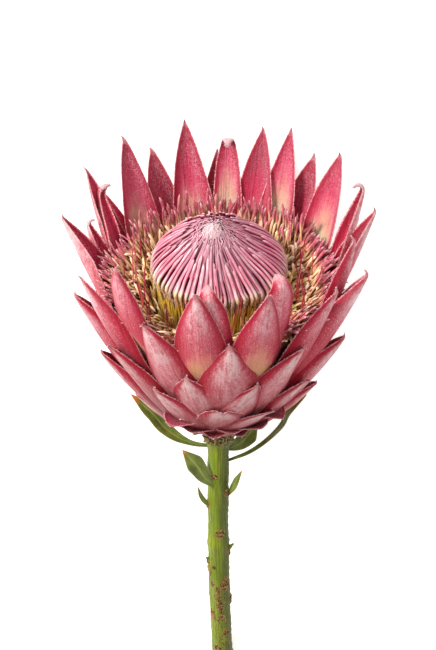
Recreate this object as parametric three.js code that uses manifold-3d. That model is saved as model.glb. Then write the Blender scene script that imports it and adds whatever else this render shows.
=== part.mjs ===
// King protea: a cut flower head on its stem, lying on its side. Millimetres, +Z up, bloom towards -Y.
import * as THREE from "three";
import Module from "manifold-3d";

const wasm = await Module();
wasm.setup();

// ---- driving dimensions (mm, degrees) ----
const STEM_END = -160; // the cut end, below the underside of the head
const STEM_TOP = 4.1; // where the stem meets the receptacle
const LIE_TILT = 16.47; // the stem's slope when the flower rests on its side
const GAP = 0.3; // running gap kept between neighbouring pieces
const BASE_THICK = 1.1; // thickness of a bract at its edge of attachment, plus THICK_PER_WIDTH of its half width
const THICK_PER_WIDTH = 0.055;
const TIP_THICK = 0.9;
const DOME_RIBS = 28;
const RING_RIBS = 24;

// Outline of the receptacle, a woody cup: radius and height of its outer wall, on which the bracts stand.
const CUP = [[5.5, 4.5], [10, 5.2], [16, 7.5], [21, 10.5], [26, 14.5], [30, 20], [33, 27.5], [35.5, 37], [37, 50], [38, 62], [38.5, 72]];

// Each bract: name, azimuth of its foot, azimuth of its tip (0 faces up, positive to the flower's right), tip radius,
// tip height above the foot of the head, height of its foot, lean of foot and tip off the straight line, half width,
// depth of its cup, widest station, two numbers for the taper, hook of the tip and where the hook starts.
const BRACTS = [
  ["bract_inner_01", -166.9, -166.9, 83, 149.29, 52, 8, -8, 12.5, 0.3, 0.5, 1.9, 0.9, 0, 0.9],
  ["bract_inner_02", 176.1, 176.1, 80, 141.02, 52, 8, -8, 8.6, 0.3, 0.5, 3.4, 0.6, -60, 0.86],
  ["bract_inner_03", 163, 163, 83, 145.74, 52, 8, -8, 12, 0.3, 0.5, 1.9, 0.9, 0, 0.9],
  ["bract_inner_04", 151.35, 152.35, 85, 147.02, 48, 8, -8, 11.5, 0.3, 0.5, 1.9, 0.9, 0, 0.9],
  ["bract_inner_05", 121.75, 129.75, 85, 141.83, 52, 8, -8, 14, 0.3, 0.5, 2.2, 0.9, 0, 0.9],
  ["bract_inner_06", 101, 113, 82, 134.11, 50, 12, -10, 8.5, 0.9, 0.5, 1.9, 0.9, 0, 0.9],
  ["bract_inner_07", 74.9, 62.9, 77, 135.92, 48, 14, -14, 11, 0.45, 0.5, 1.9, 0.9, 0, 0.9],
  ["bract_inner_08", 29.7, 27.7, 69, 125.85, 48, 10, -12, 10.5, 0.3, 0.55, 3.2, 0.6, -40, 0.88],
  ["bract_inner_09", -0.3, -5.3, 67, 122.14, 48, 8, -10, 10, 0.3, 0.5, 3.2, 0.6, -60, 0.86],
  ["bract_inner_10", -52.65, -42.65, 76, 130.27, 46, 10, -10, 13.5, 0.3, 0.5, 1.9, 0.9, 0, 0.9],
  ["bract_inner_11", -102.6, -114.6, 78, 113.49, 48, 14, -14, 11, 0.45, 0.5, 1.9, 0.9, 0, 0.9],
  ["bract_inner_12", -113.5, -127.5, 79, 125.83, 50, 12, -12, 9, 0.8, 0.5, 1.9, 0.9, 0, 0.9],
  ["bract_inner_13", -131.55, -131.55, 83, 118.22, 44, 8, -8, 11, 0.3, 0.5, 1.9, 0.9, 0, 0.9],
  ["bract_inner_14", -136.85, -141.85, 83, 146.38, 50, 8, -8, 13, 0.3, 0.5, 1.9, 0.9, 0, 0.9],
  ["bract_tall_01", -154.85, -154.85, 87, 133.87, 40, 8, -6, 12, 0.3, 0.5, 2.2, 0.9, 0, 0.9],
  ["bract_tall_02", -178.3, -179.3, 87, 128.48, 40, 8, -6, 11, 0.3, 0.5, 1.9, 0.9, 0, 0.9],
  ["bract_tall_03", 143.2, 143.2, 87, 134.03, 40, 8, -6, 12, 0.3, 0.5, 2.4, 0.9, 0, 0.9],
  ["bract_tall_04", 117.5, 119.5, 87, 110.99, 40, 8, -6, 10, 0.3, 0.5, 1.9, 0.9, 0, 0.9],
  ["bract_tall_05", 98.35, 102.35, 85, 126.22, 36, 8, -6, 13, 0.45, 0.5, 1.9, 0.9, 0, 0.9],
  ["bract_tall_06", 61.15, 65.15, 84, 116.45, 28, 10, -6, 15, 0.5, 0.5, 1.9, 0.9, 0, 0.9],
  ["bract_tall_07", 48.05, 52.05, 76, 112.58, 34, 10, -8, 15, 0.4, 0.5, 1.9, 0.9, 0, 0.9],
  ["bract_tall_08", 18.7, 20.7, 71, 120.7, 38, 12, -14, 14.5, 0.3, 0.5, 1.9, 0.9, 0, 0.9],
  ["bract_tall_09", -9.45, -9.45, 71, 123.36, 38, 12, -14, 15, 0.3, 0.5, 1.9, 0.9, 0, 0.9],
  ["bract_tall_10", -59.15, -63.15, 79, 114.76, 32, 10, -8, 15, 0.4, 0.5, 1.9, 0.9, 0, 0.9],
  ["bract_tall_11", -98.55, -100.55, 84.5, 123.76, 36, 8, -6, 13.5, 0.45, 0.5, 1.9, 0.9, 0, 0.9],
  ["bract_tall_12", -121.05, -125.05, 87, 134.81, 40, 8, -8, 11.5, 0.3, 0.5, 1.9, 0.9, 0, 0.9],
  ["bract_mid_01", 5.15, 5.15, 61, 88.04, 22, 18, -18, 18.5, 0.2, 0.5, 1.9, 0.9, 0, 0.9],
  ["bract_mid_02", -27, -34, 68, 98.64, 28, 12, -10, 17, 0.4, 0.5, 1.9, 0.9, 0, 0.9],
  ["bract_mid_03", 30.15, 42.15, 65, 80.27, 22, 10, -6, 16, 0.35, 0.5, 1.9, 0.9, 0, 0.9],
  ["bract_mid_04", 59.8, 67.8, 71, 75.24, 18, 12, -6, 15, 0.5, 0.5, 1.9, 0.9, 0, 0.9],
  ["bract_mid_05", -67.95, -71.95, 79, 98.83, 25, 10, -6, 14.5, 0.5, 0.5, 1.9, 0.9, 0, 0.9],
  ["bract_mid_06", -88, -91, 64, 68, 26, 11, -8, 15, 0.3, 0.5, 1.9, 0.9, 0, 0.9],
  ["bract_mid_07", -113, -110, 72, 80, 27, 11, -8, 15, 0.3, 0.5, 1.9, 0.9, 0, 0.9],
  ["bract_mid_08", -129, -132, 80, 88, 28, 11, -8, 15, 0.3, 0.5, 1.9, 0.9, 0, 0.9],
  ["bract_mid_09", -157, -154, 88, 92, 28, 11, -8, 15, 0.3, 0.5, 1.9, 0.9, 0, 0.9],
  ["bract_mid_10", -175, -178, 75, 84, 29, 11, -8, 15, 0.3, 0.5, 1.9, 0.9, 0, 0.9],
  ["bract_mid_11", 151, 154, 88, 92, 28, 11, -8, 15, 0.3, 0.5, 1.9, 0.9, 0, 0.9],
  ["bract_mid_12", 135, 132, 80, 88, 28, 11, -8, 15, 0.3, 0.5, 1.9, 0.9, 0, 0.9],
  ["bract_mid_13", 107, 110, 72, 80, 27, 11, -8, 15, 0.3, 0.5, 1.9, 0.9, 0, 0.9],
  ["bract_mid_14", 92, 89, 62, 68, 26, 11, -8, 15, 0.3, 0.5, 1.9, 0.9, 0, 0.9],
  ["bract_low_01", 2.85, 20.85, 56, 60.29, 13, 10, -12, 16, 0.2, 0.5, 1.9, 0.9, 0, 0.9],
  ["bract_low_02", -11.45, -17.45, 57, 65.99, 14, 10, -12, 17, 0.2, 0.5, 1.9, 0.9, 0, 0.9],
  ["bract_low_03", -47.1, -57.1, 67, 74.82, 18, 12, -6, 15, 0.45, 0.5, 1.9, 0.9, 0, 0.9],
  ["bract_low_04", 41.4, 51.4, 59, 54.99, 11, 12, -6, 13, 0.3, 0.5, 1.9, 0.9, 0, 0.9],
  ["bract_low_05", -66.9, -74.9, 65, 60.85, 14, 12, -6, 14, 0.45, 0.5, 1.9, 0.9, 0, 0.9],
  ["bract_low_06", -22.75, -36.75, 56, 53.32, 9, 14, -8, 14, 0.25, 0.5, 1.9, 0.9, 0, 0.9],
  ["bract_low_07", 62.35, 68.35, 56, 43.7, 10, 14, -6, 13, 0.45, 0.5, 1.9, 0.9, 0, 0.9],
  ["bract_low_08", -95, -98, 56, 48, 14, 11, -8, 14.5, 0.3, 0.5, 1.9, 0.9, 0, 0.9],
  ["bract_low_09", -125, -122, 64, 54, 15, 11, -8, 14.5, 0.3, 0.5, 1.9, 0.9, 0, 0.9],
  ["bract_low_10", -143, -146, 68, 56, 15, 11, -8, 14.5, 0.3, 0.5, 1.9, 0.9, 0, 0.9],
  ["bract_low_11", -173, -170, 70, 57, 15, 11, -8, 14.5, 0.3, 0.5, 1.9, 0.9, 0, 0.9],
  ["bract_low_12", 169, 166, 70, 57, 15, 11, -8, 14.5, 0.3, 0.5, 1.9, 0.9, 0, 0.9],
  ["bract_low_13", 139, 142, 68, 56, 15, 11, -8, 14.5, 0.3, 0.5, 1.9, 0.9, 0, 0.9],
  ["bract_low_14", 121, 118, 64, 52, 15, 11, -8, 14.5, 0.3, 0.5, 1.9, 0.9, 0, 0.9],
  ["bract_low_15", 91, 94, 54, 44, 14, 11, -8, 14.5, 0.3, 0.5, 1.9, 0.9, 0, 0.9],
  ["bract_base_01", 1.15, 1.15, 50, 44.2, 6, 26, -18, 15, 0.1, 0.5, 3, 0.9, 0, 0.9],
  ["bract_base_02", 15.45, 33.45, 49, 40.51, 6.5, 22, -12, 12, 0.15, 0.5, 1.9, 0.9, 0, 0.9],
  ["bract_base_03", -15.4, -25.4, 45, 34.41, 6, 24, -12, 13, 0.2, 0.5, 1.9, 0.9, 0, 0.9],
  ["bract_base_04", 40, 46, 46, 31.09, 6, 20, -8, 11, 0.35, 0.5, 1.9, 0.9, 0, 0.9],
  ["bract_base_05", -62.75, -72.75, 47, 32.96, 8, 16, -6, 12, 0.45, 0.5, 1.9, 0.9, 0, 0.9],
  ["bract_base_06", -40.15, -40.15, 44, 28.79, 5.5, 22, -8, 11, 0.4, 0.5, 1.9, 0.9, 0, 0.9],
  ["bract_base_07", 4.2, 4.2, 36, 24.21, 5.2, 26, -14, 12, 0.1, 0.5, 1.9, 0.9, 0, 0.9],
  ["bract_base_08", -97, -100, 44, 28, 7.5, 11, -8, 12.5, 0.3, 0.5, 1.9, 0.9, 0, 0.9],
  ["bract_base_09", -129, -126, 46, 28, 7.5, 11, -8, 12.5, 0.3, 0.5, 1.9, 0.9, 0, 0.9],
  ["bract_base_10", -149, -152, 48, 29, 7.5, 11, -8, 12.5, 0.3, 0.5, 1.9, 0.9, 0, 0.9],
  ["bract_base_11", -181, -178, 48, 28, 7.5, 11, -8, 12.5, 0.3, 0.5, 1.9, 0.9, 0, 0.9],
  ["bract_base_12", 159, 156, 48, 29, 7.5, 11, -8, 12.5, 0.3, 0.5, 1.9, 0.9, 0, 0.9],
  ["bract_base_13", 127, 130, 46, 28, 7.5, 11, -8, 12.5, 0.3, 0.5, 1.9, 0.9, 0, 0.9],
  ["bract_base_14", 107, 104, 44, 26, 7.5, 11, -8, 12.5, 0.3, 0.5, 1.9, 0.9, 0, 0.9],
];

// The small scales of the far side and of the foot, grown together with the receptacle.
const GROWN_IN = /^bract_(mid_(06|14)|low_(08|09|1\d)|base_(06|07|08|09|1\d))$/;

const rad = THREE.MathUtils.degToRad;

// ---- the flower's own frame (right, up out of the table, along the stem) to the table's ----
const ct = Math.cos(rad(LIE_TILT)), st = Math.sin(rad(LIE_TILT));
const lay = (x, f, h) => [-x, f * st - h * ct, f * ct + h * st];

// ---- closed solids from grids of points ----
function solid(verts, tris) {
  let vol = 0;
  for (const [a, b, c] of tris) {
    const [p, q, r] = [verts[a], verts[b], verts[c]];
    vol += p[0] * (q[1] * r[2] - q[2] * r[1]) + p[1] * (q[2] * r[0] - q[0] * r[2]) + p[2] * (q[0] * r[1] - q[1] * r[0]);
  }
  const flip = vol < 0;
  return new wasm.Manifold(
    new wasm.Mesh({
      numProp: 3,
      vertProperties: new Float32Array(verts.flat()),
      triVerts: new Uint32Array(tris.flatMap(([a, b, c]) => (flip ? [a, c, b] : [a, b, c]))),
    }),
  );
}

// A sheet with thickness: a grid of middle points, made solid along its normals.
function sheetSolid(grid, thick) {
  const n = grid.length, m = grid[0].length;
  const at = (i, j) => new THREE.Vector3(...grid[Math.min(n - 1, Math.max(0, i))][Math.min(m - 1, Math.max(0, j))]);
  const top = [], bottom = [];
  for (let i = 0; i < n; i++)
    for (let j = 0; j < m; j++) {
      const du = at(i + 1, j).sub(at(i - 1, j)), dv = at(i, j + 1).sub(at(i, j - 1));
      const nn = du.cross(dv).normalize().multiplyScalar(thick(i / (n - 1), (2 * j) / (m - 1) - 1) / 2);
      const p = at(i, j);
      top.push([p.x + nn.x, p.y + nn.y, p.z + nn.z]);
      bottom.push([p.x - nn.x, p.y - nn.y, p.z - nn.z]);
    }
  const verts = [...top, ...bottom], o = n * m, tris = [];
  const id = (i, j) => i * m + j;
  for (let i = 0; i < n - 1; i++)
    for (let j = 0; j < m - 1; j++) {
      const [a, b, c, d] = [id(i, j), id(i + 1, j), id(i + 1, j + 1), id(i, j + 1)];
      if ((j < (m - 1) / 2)) tris.push([a, b, c], [a, c, d], [o + a, o + c, o + b], [o + a, o + d, o + c]);
      else tris.push([a, b, d], [b, c, d], [o + a, o + d, o + b], [o + b, o + d, o + c]);
    }
  const rim = [];
  for (let i = 0; i < n - 1; i++) rim.push([id(i + 1, 0), id(i, 0)], [id(i, m - 1), id(i + 1, m - 1)]);
  for (let j = 0; j < m - 1; j++) rim.push([id(0, j), id(0, j + 1)], [id(n - 1, j + 1), id(n - 1, j)]);
  for (const [a, b] of rim) tris.push([a, b, o + b], [a, o + b, o + a]);
  return solid(verts, tris);
}

// A ring of sections round an axis, closed at both ends on the axis.
function turned(profile, segs, wobble = () => [0, 0]) {
  const verts = [], tris = [], k = profile.length;
  const first = profile[0], last = profile[k - 1];
  verts.push(lay(0, 0, first[1]));
  for (let i = 1; i < k - 1; i++)
    for (let s = 0; s < segs; s++) {
      const a = (2 * Math.PI * s) / segs, [dr, dh] = wobble(i, s);
      const r = profile[i][0] + dr;
      verts.push(lay(r * Math.sin(a), r * Math.cos(a), profile[i][1] + dh));
    }
  verts.push(lay(0, 0, last[1]));
  const end = verts.length - 1, id = (i, s) => 1 + (i - 1) * segs + (s % segs);
  for (let s = 0; s < segs; s++) {
    tris.push([0, id(1, s + 1), id(1, s)]);
    for (let i = 1; i < k - 2; i++) tris.push([id(i, s), id(i, s + 1), id(i + 1, s + 1)], [id(i, s), id(i + 1, s + 1), id(i + 1, s)]);
    tris.push([id(k - 2, s), id(k - 2, s + 1), end]);
  }
  return solid(verts, tris);
}

// A ring with a hole: the profile is a closed loop.
function turnedRing(loop, segs, wobble = () => [0, 0]) {
  const verts = [], tris = [], k = loop.length;
  for (let i = 0; i < k; i++)
    for (let s = 0; s < segs; s++) {
      const a = (2 * Math.PI * s) / segs, [dr, dh] = wobble(i, s);
      const r = loop[i][0] + dr;
      verts.push(lay(r * Math.sin(a), r * Math.cos(a), loop[i][1] + dh));
    }
  const id = (i, s) => (i % k) * segs + (s % segs);
  for (let s = 0; s < segs; s++)
    for (let i = 0; i < k; i++) tris.push([id(i, s), id(i, s + 1), id(i + 1, s + 1)], [id(i, s), id(i + 1, s + 1), id(i + 1, s)]);
  return solid(verts, tris);
}

// ---- bracts ----
function cupRadius(h) {
  for (let i = 1; i < CUP.length; i++)
    if (h <= CUP[i][1]) {
      const [a, b] = [CUP[i - 1], CUP[i]];
      return a[0] + ((b[0] - a[0]) * (h - a[1])) / (b[1] - a[1]);
    }
  return CUP[CUP.length - 1][0];
}

const U_FINE = [0, 0.2, 0.42, 0.62, 0.79, 0.92, 1];
const U_HOOK = [0, 0.22, 0.46, 0.68, 0.85, 0.93, 1];
const U_COARSE = [0, 0.3, 0.6, 0.85, 1];

function bract(row, grow, coarse, sink = 0) {
  const [, f0, f1, R, H, hb, a0, a1, W, dep, um, p, q, hook, uh] = row;
  const P0 = [cupRadius(hb) - sink, hb], P3 = [R, H];
  const L = Math.hypot(P3[0] - P0[0], P3[1] - P0[1]);
  const chord = Math.atan2(P3[0] - P0[0], P3[1] - P0[1]);
  const t0 = chord + rad(a0), t1 = chord + rad(a1), m = 0.38 * L;
  const P1 = [P0[0] + m * Math.sin(t0), P0[1] + m * Math.cos(t0)];
  const P2 = [P3[0] - m * Math.sin(t1), P3[1] - m * Math.cos(t1)];
  const on = (u, k) => (1 - u) ** 3 * P0[k] + 3 * (1 - u) ** 2 * u * P1[k] + 3 * (1 - u) * u * u * P2[k] + u ** 3 * P3[k];
  const slope = (u, k) => 3 * (1 - u) ** 2 * (P1[k] - P0[k]) + 6 * (1 - u) * u * (P2[k] - P1[k]) + 3 * u * u * (P3[k] - P2[k]);
  // the middle line, with the hook at the tip laid on in small steps
  const N = 96, line = [];
  for (let i = 0; i <= N; i++) {
    const u = i / N, d = [slope(u, 0), slope(u, 1)];
    const th = Math.atan2(d[0], d[1]) + rad(hook) * Math.max(0, (u - uh) / (1 - uh)) ** 1.5;
    const pt = [on(u, 0), on(u, 1)];
    if (hook && u > uh) {
      const prev = line[i - 1], a = (prev.th + th) / 2, s = Math.hypot(...d) / N;
      pt[0] = prev.pt[0] + s * Math.sin(a);
      pt[1] = prev.pt[1] + s * Math.cos(a);
    }
    line.push({ pt, th });
  }
  const us = coarse ? U_COARSE : hook ? U_HOOK : U_FINE, nv = coarse ? 2 : 4;
  const grid = us.map((u, i) => {
    const { pt, th } = line[Math.round(u * N)];
    const s = Math.max(0, (u - um) / (1 - um));
    const shape = u <= um ? 0.75 + 0.25 * Math.sin(((u / um) * Math.PI) / 2) : (1 - s ** p) ** q;
    const w = Math.max(W * shape, 0.5) + grow;
    const d = 0.1 + (dep - 0.1) * Math.min(1, Math.max(0, (u - 0.15) / 0.6)) ** 1.2;
    const az = rad(f0 + (f1 - f0) * u ** 1.6);
    const along = i === 0 ? -grow : i === us.length - 1 ? grow : 0;
    const out = [];
    for (let j = 0; j <= nv; j++) {
      const v = (2 * j) / nv - 1;
      const lat = (v * w) / Math.sqrt(1 + 1.4 * (d * v) ** 2), off = d * w * v * v;
      const r = pt[0] - Math.cos(th) * off + along * Math.sin(th), h = pt[1] + Math.sin(th) * off + along * Math.cos(th);
      const a = az + lat / Math.max(pt[0], 3);
      out.push(lay(r * Math.sin(a), r * Math.cos(a), h));
    }
    return out;
  });
  const foot = BASE_THICK + THICK_PER_WIDTH * W;
  return sheetSolid(grid, (u, v) => (foot + (TIP_THICK - foot) * u) * (1 - 0.35 * v * v) + 2 * grow);
}

// ---- leaves: a middle line of points, half width, the way the upper face looks, how much the sides are raised ----
const LEAVES = [
  ["leaf_left_long", [[-6.9, -2, -9.7], [-14.3, -2, -8.6], [-22.8, -3, -5.2], [-30.2, -4, 0.6], [-36.2, -5, 8.4], [-47.6, -6, 20.2]], [0.9, 1.5, 3.4, 4.4, 3.6, 0.6], [0.35, 0.75, 0.55], 0.35],
  ["leaf_right_long", [[6.7, 0, -17.8], [16.4, 0, -13.2], [26, -1, -6.4], [34.8, -2, 3.1], [38.6, -3, 11.6], [47.4, -4, 21.2]], [0.9, 1.2, 1.6, 2.4, 3.2, 0.6], [-0.75, 0.35, 0.55], 0.35],
  ["leaf_left_small", [[-3.6, 5.8, -30.6], [-7.6, 6.6, -25.4], [-12.4, 7, -17.3], [-19.8, 6, -7.9]], [1, 3.6, 5, 0.6], [0.25, 0.85, 0.45], 0.2],
  ["leaf_right_small", [[5.6, -4.2, -13], [10.3, -6.2, -12], [15.6, -8, -7.9], [20.4, -9.2, -0.6]], [1, 3.4, 5.2, 1.4], [-0.2, 0.85, 0.45], 0.25],
  ["leaf_scale_right", [[5.9, 2.2, -38.6], [8, 2.7, -34], [10, 2.7, -29], [12.5, 2, -23.8]], [0.9, 2, 1.8, 0.5], [-0.5, 0.75, 0.4], 0.3],
  ["leaf_scale_left", [[-5.9, 2.2, -46], [-8.6, 2.7, -42.4], [-10.4, 2.7, -38.7], [-11.6, 2, -34.4]], [0.8, 1.5, 1.2, 0.5], [0.5, 0.75, 0.4], 0.3],
];
const LEAF_THICK = 0.9;

function leaf([, pts, widths, face, raise], grow) {
  const curve = new THREE.CatmullRomCurve3(pts.map((p) => new THREE.Vector3(...p)));
  const n = pts.length > 4 ? 8 : 5, grid = [], look = new THREE.Vector3(...face).normalize();
  for (let i = 0; i <= n; i++) {
    const u = i / n, c = curve.getPoint(u), t = curve.getTangent(u);
    const k = u * (widths.length - 1), k0 = Math.min(widths.length - 2, Math.floor(k));
    const w = widths[k0] + (widths[k0 + 1] - widths[k0]) * (k - k0) + grow;
    const side = new THREE.Vector3().crossVectors(t, look).normalize(), up = new THREE.Vector3().crossVectors(side, t).normalize();
    c.addScaledVector(t, i === 0 ? -grow : i === n ? grow : 0);
    const out = [];
    for (const v of [-1, 0, 1]) {
      const p = c.clone().addScaledVector(side, v * w).addScaledVector(up, Math.abs(v) * w * raise);
      out.push(lay(p.x, p.y, p.z));
    }
    grid.push(out);
  }
  return sheetSolid(grid, () => LEAF_THICK + 2 * grow);
}

// ---- stem: centre offset and radius down its length, with buds and scars ----
const STEM = [[STEM_TOP, 0, 6.6], [1, 0, 8.2], [-4, -0.1, 8], [-8, -0.3, 6.2], [-16, -0.5, 5.6], [-40, -0.5, 5.5], [-65, -0.4, 5.3], [-72, -0.3, 5.9], [-80, -0.1, 5.4], [-100, 0.3, 5.6], [-120, 1, 5.4], [-140, 1.8, 5.4], [-158.8, 2.6, 5.5], [STEM_END, 2.6, 5.1]];
const STEM_SIDES = 16;

function stem(grow) {
  const verts = [], tris = [], k = STEM.length;
  const put = (i, h) => {
    for (let s = 0; s < STEM_SIDES; s++) {
      const a = (2 * Math.PI * s) / STEM_SIDES, r = STEM[i][2] + grow;
      verts.push(lay(STEM[i][1] + r * Math.sin(a), r * Math.cos(a), h));
    }
  };
  for (let i = 0; i < k; i++) put(i, STEM[i][0] + (i === 0 ? grow : i === k - 1 ? -grow : 0));
  verts.push(lay(STEM[0][1], 0, STEM[0][0] + grow), lay(STEM[k - 1][1], 0, STEM[k - 1][0] - grow));
  const id = (i, s) => i * STEM_SIDES + (s % STEM_SIDES), t = k * STEM_SIDES;
  for (let s = 0; s < STEM_SIDES; s++) {
    tris.push([t, id(0, s), id(0, s + 1)], [t + 1, id(k - 1, s + 1), id(k - 1, s)]);
    for (let i = 0; i < k - 1; i++) tris.push([id(i, s), id(i + 1, s), id(i + 1, s + 1)], [id(i, s), id(i + 1, s + 1), id(i, s + 1)]);
  }
  return solid(verts, tris);
}

// A small bud or raised scar: centre, half sizes across, out and along.
const BUDS = [[5.9, 1.2, -76.5, 1.9, 1.6, 4.6], [-5.9, 1, -84, 1.8, 1.6, 3.2], [6.2, 0.5, -110, 1.6, 1.5, 3], [0.9, 5, -66, 3.4, 1.5, 2.6], [3.2, 4.4, -99.5, 2.6, 1.5, 5]];
function bud([x, f, h, a, b, c]) {
  const g = new THREE.IcosahedronGeometry(1, 1), pos = g.attributes.position, key = new Map(), verts = [], tris = [], idx = [];
  for (let i = 0; i < pos.count; i++) {
    const v = [pos.getX(i), pos.getY(i), pos.getZ(i)], kk = v.map((q) => q.toFixed(4)).join();
    if (!key.has(kk)) key.set(kk, verts.push(lay(x + v[0] * a, f + v[1] * b, h + v[2] * c)) - 1);
    idx.push(key.get(kk));
  }
  for (let i = 0; i < idx.length; i += 3) tris.push([idx[i], idx[i + 1], idx[i + 2]]);
  return solid(verts, tris);
}

// ---- the middle of the bloom ----
const CUP_BODY = [[0, 4.5], ...CUP.slice(0, 9), [37.4, 56], [36, 58.4], [24, 60.4], [0, 64.4]];
const DOME = [[0, 64.8], [24, 60.8], [30.2, 60.2], [31.4, 70], [32.2, 80], [34.4, 89], [36, 97], [33.4, 103.5], [26, 113], [16, 122], [6, 127.6], [0, 128.8]];
const RING = [[31, 59.3], [31.9, 70], [33, 79], [37.5, 85], [43, 91.5], [50, 97.5], [56, 101], [60, 100], [58.6, 93], [50, 78], [42, 66], [36.6, 58.9]];

function swell(profile, g) {
  return profile.map(([r, h], i) => (r === 0 ? [0, h + (i ? g : -g)] : [r + g, h + (h > 90 || (i > 2 && h > 60) ? g : -g * 0.5)]));
}

const domeRibs = (i, s) => (i > 4 && i < 11 ? [((s % 2) - 0.5) * -Math.min(1.3, DOME[i][0] * 0.045), 0] : [0, 0]);
const ringRibs = (i, s) => (i > 2 && i < 8 ? [0, ((s % 2) - 0.5) * (2 + i * 0.35)] : [0, 0]);

// ---- build, from the middle outwards: each piece gives way to those inside it ----
const SLIVER = 0.12;
const built = []; // name, solid, grown solid, slot
const touches = (a, b) => a.min[0] < b.max[0] && b.min[0] < a.max[0] && a.min[1] < b.max[1] && b.min[1] < a.max[1] && a.min[2] < b.max[2] && b.min[2] < a.max[2];

function main(piece) {
  const parts = piece.decompose();
  parts.sort((a, b) => b.volume() - a.volume());
  return parts[0];
}
function place(name, piece, grown, slot) {
  const box = piece.boundingBox();
  for (const o of built) if (touches(box, o.box)) piece = piece.subtract(o.grown);
  const kept = main(piece.simplify(SLIVER));
  built.push({ name, piece: kept, grown, box: grown.boundingBox(), slot });
}

const body = turned(CUP_BODY, 32);
built.push({ name: "receptacle", piece: body, grown: turned(swell(CUP_BODY, GAP), 32), box: turned(swell(CUP_BODY, GAP), 32).boundingBox(), slot: "receptacle" });
place("flower_dome", turned(DOME, DOME_RIBS * 2, domeRibs), turned(swell(DOME, GAP), DOME_RIBS * 2, domeRibs), "dome");
place("floret_ring", turnedRing(RING, RING_RIBS * 2, ringRibs), turnedRing(RING.map(([r, h], i) => [r + (i > 5 ? GAP : 0), h + (i > 2 && i < 8 ? GAP : i > 9 || i < 1 ? -GAP : 0)]), RING_RIBS * 2, ringRibs), "florets");
let stalk = stem(0);
for (const b of BUDS) stalk = stalk.add(bud(b));
built.push({ name: "stem", piece: main(stalk.simplify(SLIVER)), grown: stem(GAP), box: stem(GAP).boundingBox(), slot: "stem" });

for (const row of BRACTS) if (!GROWN_IN.test(row[0])) place(row[0], bract(row, 0, false), bract(row, GAP, false), row[0].startsWith("bract_inner") ? "bract_inner" : "bract");
for (const l of LEAVES) place(l[0], leaf(l, 0), leaf(l, GAP), "leaf");

// the grown-in scales give way to every other piece and join the receptacle
let cup = body;
for (const row of BRACTS)
  if (GROWN_IN.test(row[0])) {
    let scale = bract(row, 0, true, 2.5);
    const box = scale.boundingBox();
    for (const o of built) if (o.name !== "receptacle" && touches(box, o.box)) scale = scale.subtract(o.grown);
    cup = cup.add(main(scale.simplify(SLIVER)));
  }
built[0].piece = main(cup.simplify(0.2));

// ---- meshes ----
const LOOK = {
  receptacle: ["#b9788a", 0.8],
  dome: ["#cf7f9c", 0.75],
  florets: ["#d9b682", 0.85],
  stem: ["#6f8a3c", 0.6],
  leaf: ["#5f7f39", 0.6],
  bract: ["#c9647f", 0.65],
  bract_inner: ["#c8405f", 0.6],
};
const looks = Object.fromEntries(
  Object.entries(LOOK).map(([k, [color, roughness]]) => [k, Object.assign(new THREE.MeshStandardMaterial({ color, roughness, metalness: 0 }), { name: k })]),
);

const box = { min: [1e9, 1e9, 1e9], max: [-1e9, -1e9, -1e9] };
for (const b of built) {
  const q = b.piece.boundingBox();
  for (let k = 0; k < 3; k++) {
    box.min[k] = Math.min(box.min[k], q.min[k]);
    box.max[k] = Math.max(box.max[k], q.max[k]);
  }
}
const shift = [-(box.min[0] + box.max[0]) / 2, -(box.min[1] + box.max[1]) / 2, -box.min[2]];

const group = new THREE.Group();
group.name = "king_protea";
for (const { name, piece, slot } of built) {
  const m = piece.translate(shift).getMesh(), k = m.numProp, pos = new Float32Array(m.numVert * 3);
  for (let i = 0; i < m.numVert; i++) for (let c = 0; c < 3; c++) pos[3 * i + c] = m.vertProperties[i * k + c];
  const g = new THREE.BufferGeometry();
  g.setAttribute("position", new THREE.BufferAttribute(pos, 3));
  g.setIndex(new THREE.BufferAttribute(new Uint32Array(m.triVerts), 1));
  g.computeVertexNormals();
  const mesh = new THREE.Mesh(g, looks[slot]);
  mesh.name = name;
  group.add(mesh);
}

export default group;
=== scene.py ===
"""King protea, cut flower lying on its side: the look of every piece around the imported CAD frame. Metres, +Z up, bloom towards -Y."""

import math

import bpy
import numpy as np
from mathutils import Matrix, Vector


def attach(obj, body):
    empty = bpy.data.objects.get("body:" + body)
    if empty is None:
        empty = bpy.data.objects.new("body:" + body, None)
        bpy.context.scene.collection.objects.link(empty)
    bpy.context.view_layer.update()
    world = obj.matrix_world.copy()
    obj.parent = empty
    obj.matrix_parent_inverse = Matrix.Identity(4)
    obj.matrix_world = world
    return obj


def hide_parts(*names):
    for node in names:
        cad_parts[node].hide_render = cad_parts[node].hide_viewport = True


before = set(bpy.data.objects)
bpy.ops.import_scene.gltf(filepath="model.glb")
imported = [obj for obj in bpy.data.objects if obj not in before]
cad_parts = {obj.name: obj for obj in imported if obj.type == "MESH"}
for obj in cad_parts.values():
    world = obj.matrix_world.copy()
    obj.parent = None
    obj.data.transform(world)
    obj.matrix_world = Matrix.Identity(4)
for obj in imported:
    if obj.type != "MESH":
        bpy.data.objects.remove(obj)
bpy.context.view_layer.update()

# ---------------------------------------------------------------- the flower's own frame
LIE_TILT = math.radians(16.47)
CT, ST = math.cos(LIE_TILT), math.sin(LIE_TILT)
SHIFT = np.array([-0.019924, 5.625038, 50.354752])  # mm


def lay(p):
    """Flower frame (x right, f up out of the table, h along the stem), mm, to the row frame, metres."""
    x, f, h = p[..., 0], p[..., 1], p[..., 2]
    return (np.stack([-x, f * ST - h * CT, f * CT + h * ST], -1) + SHIFT) / 1000.0


def polar(r, h, a):
    return np.stack([r * np.sin(a), r * np.cos(a), h + 0 * a], -1)


def smooth(x, lo, hi):
    t = np.clip((x - lo) / (hi - lo), 0, 1)
    return t * t * (3 - 2 * t)


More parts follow.
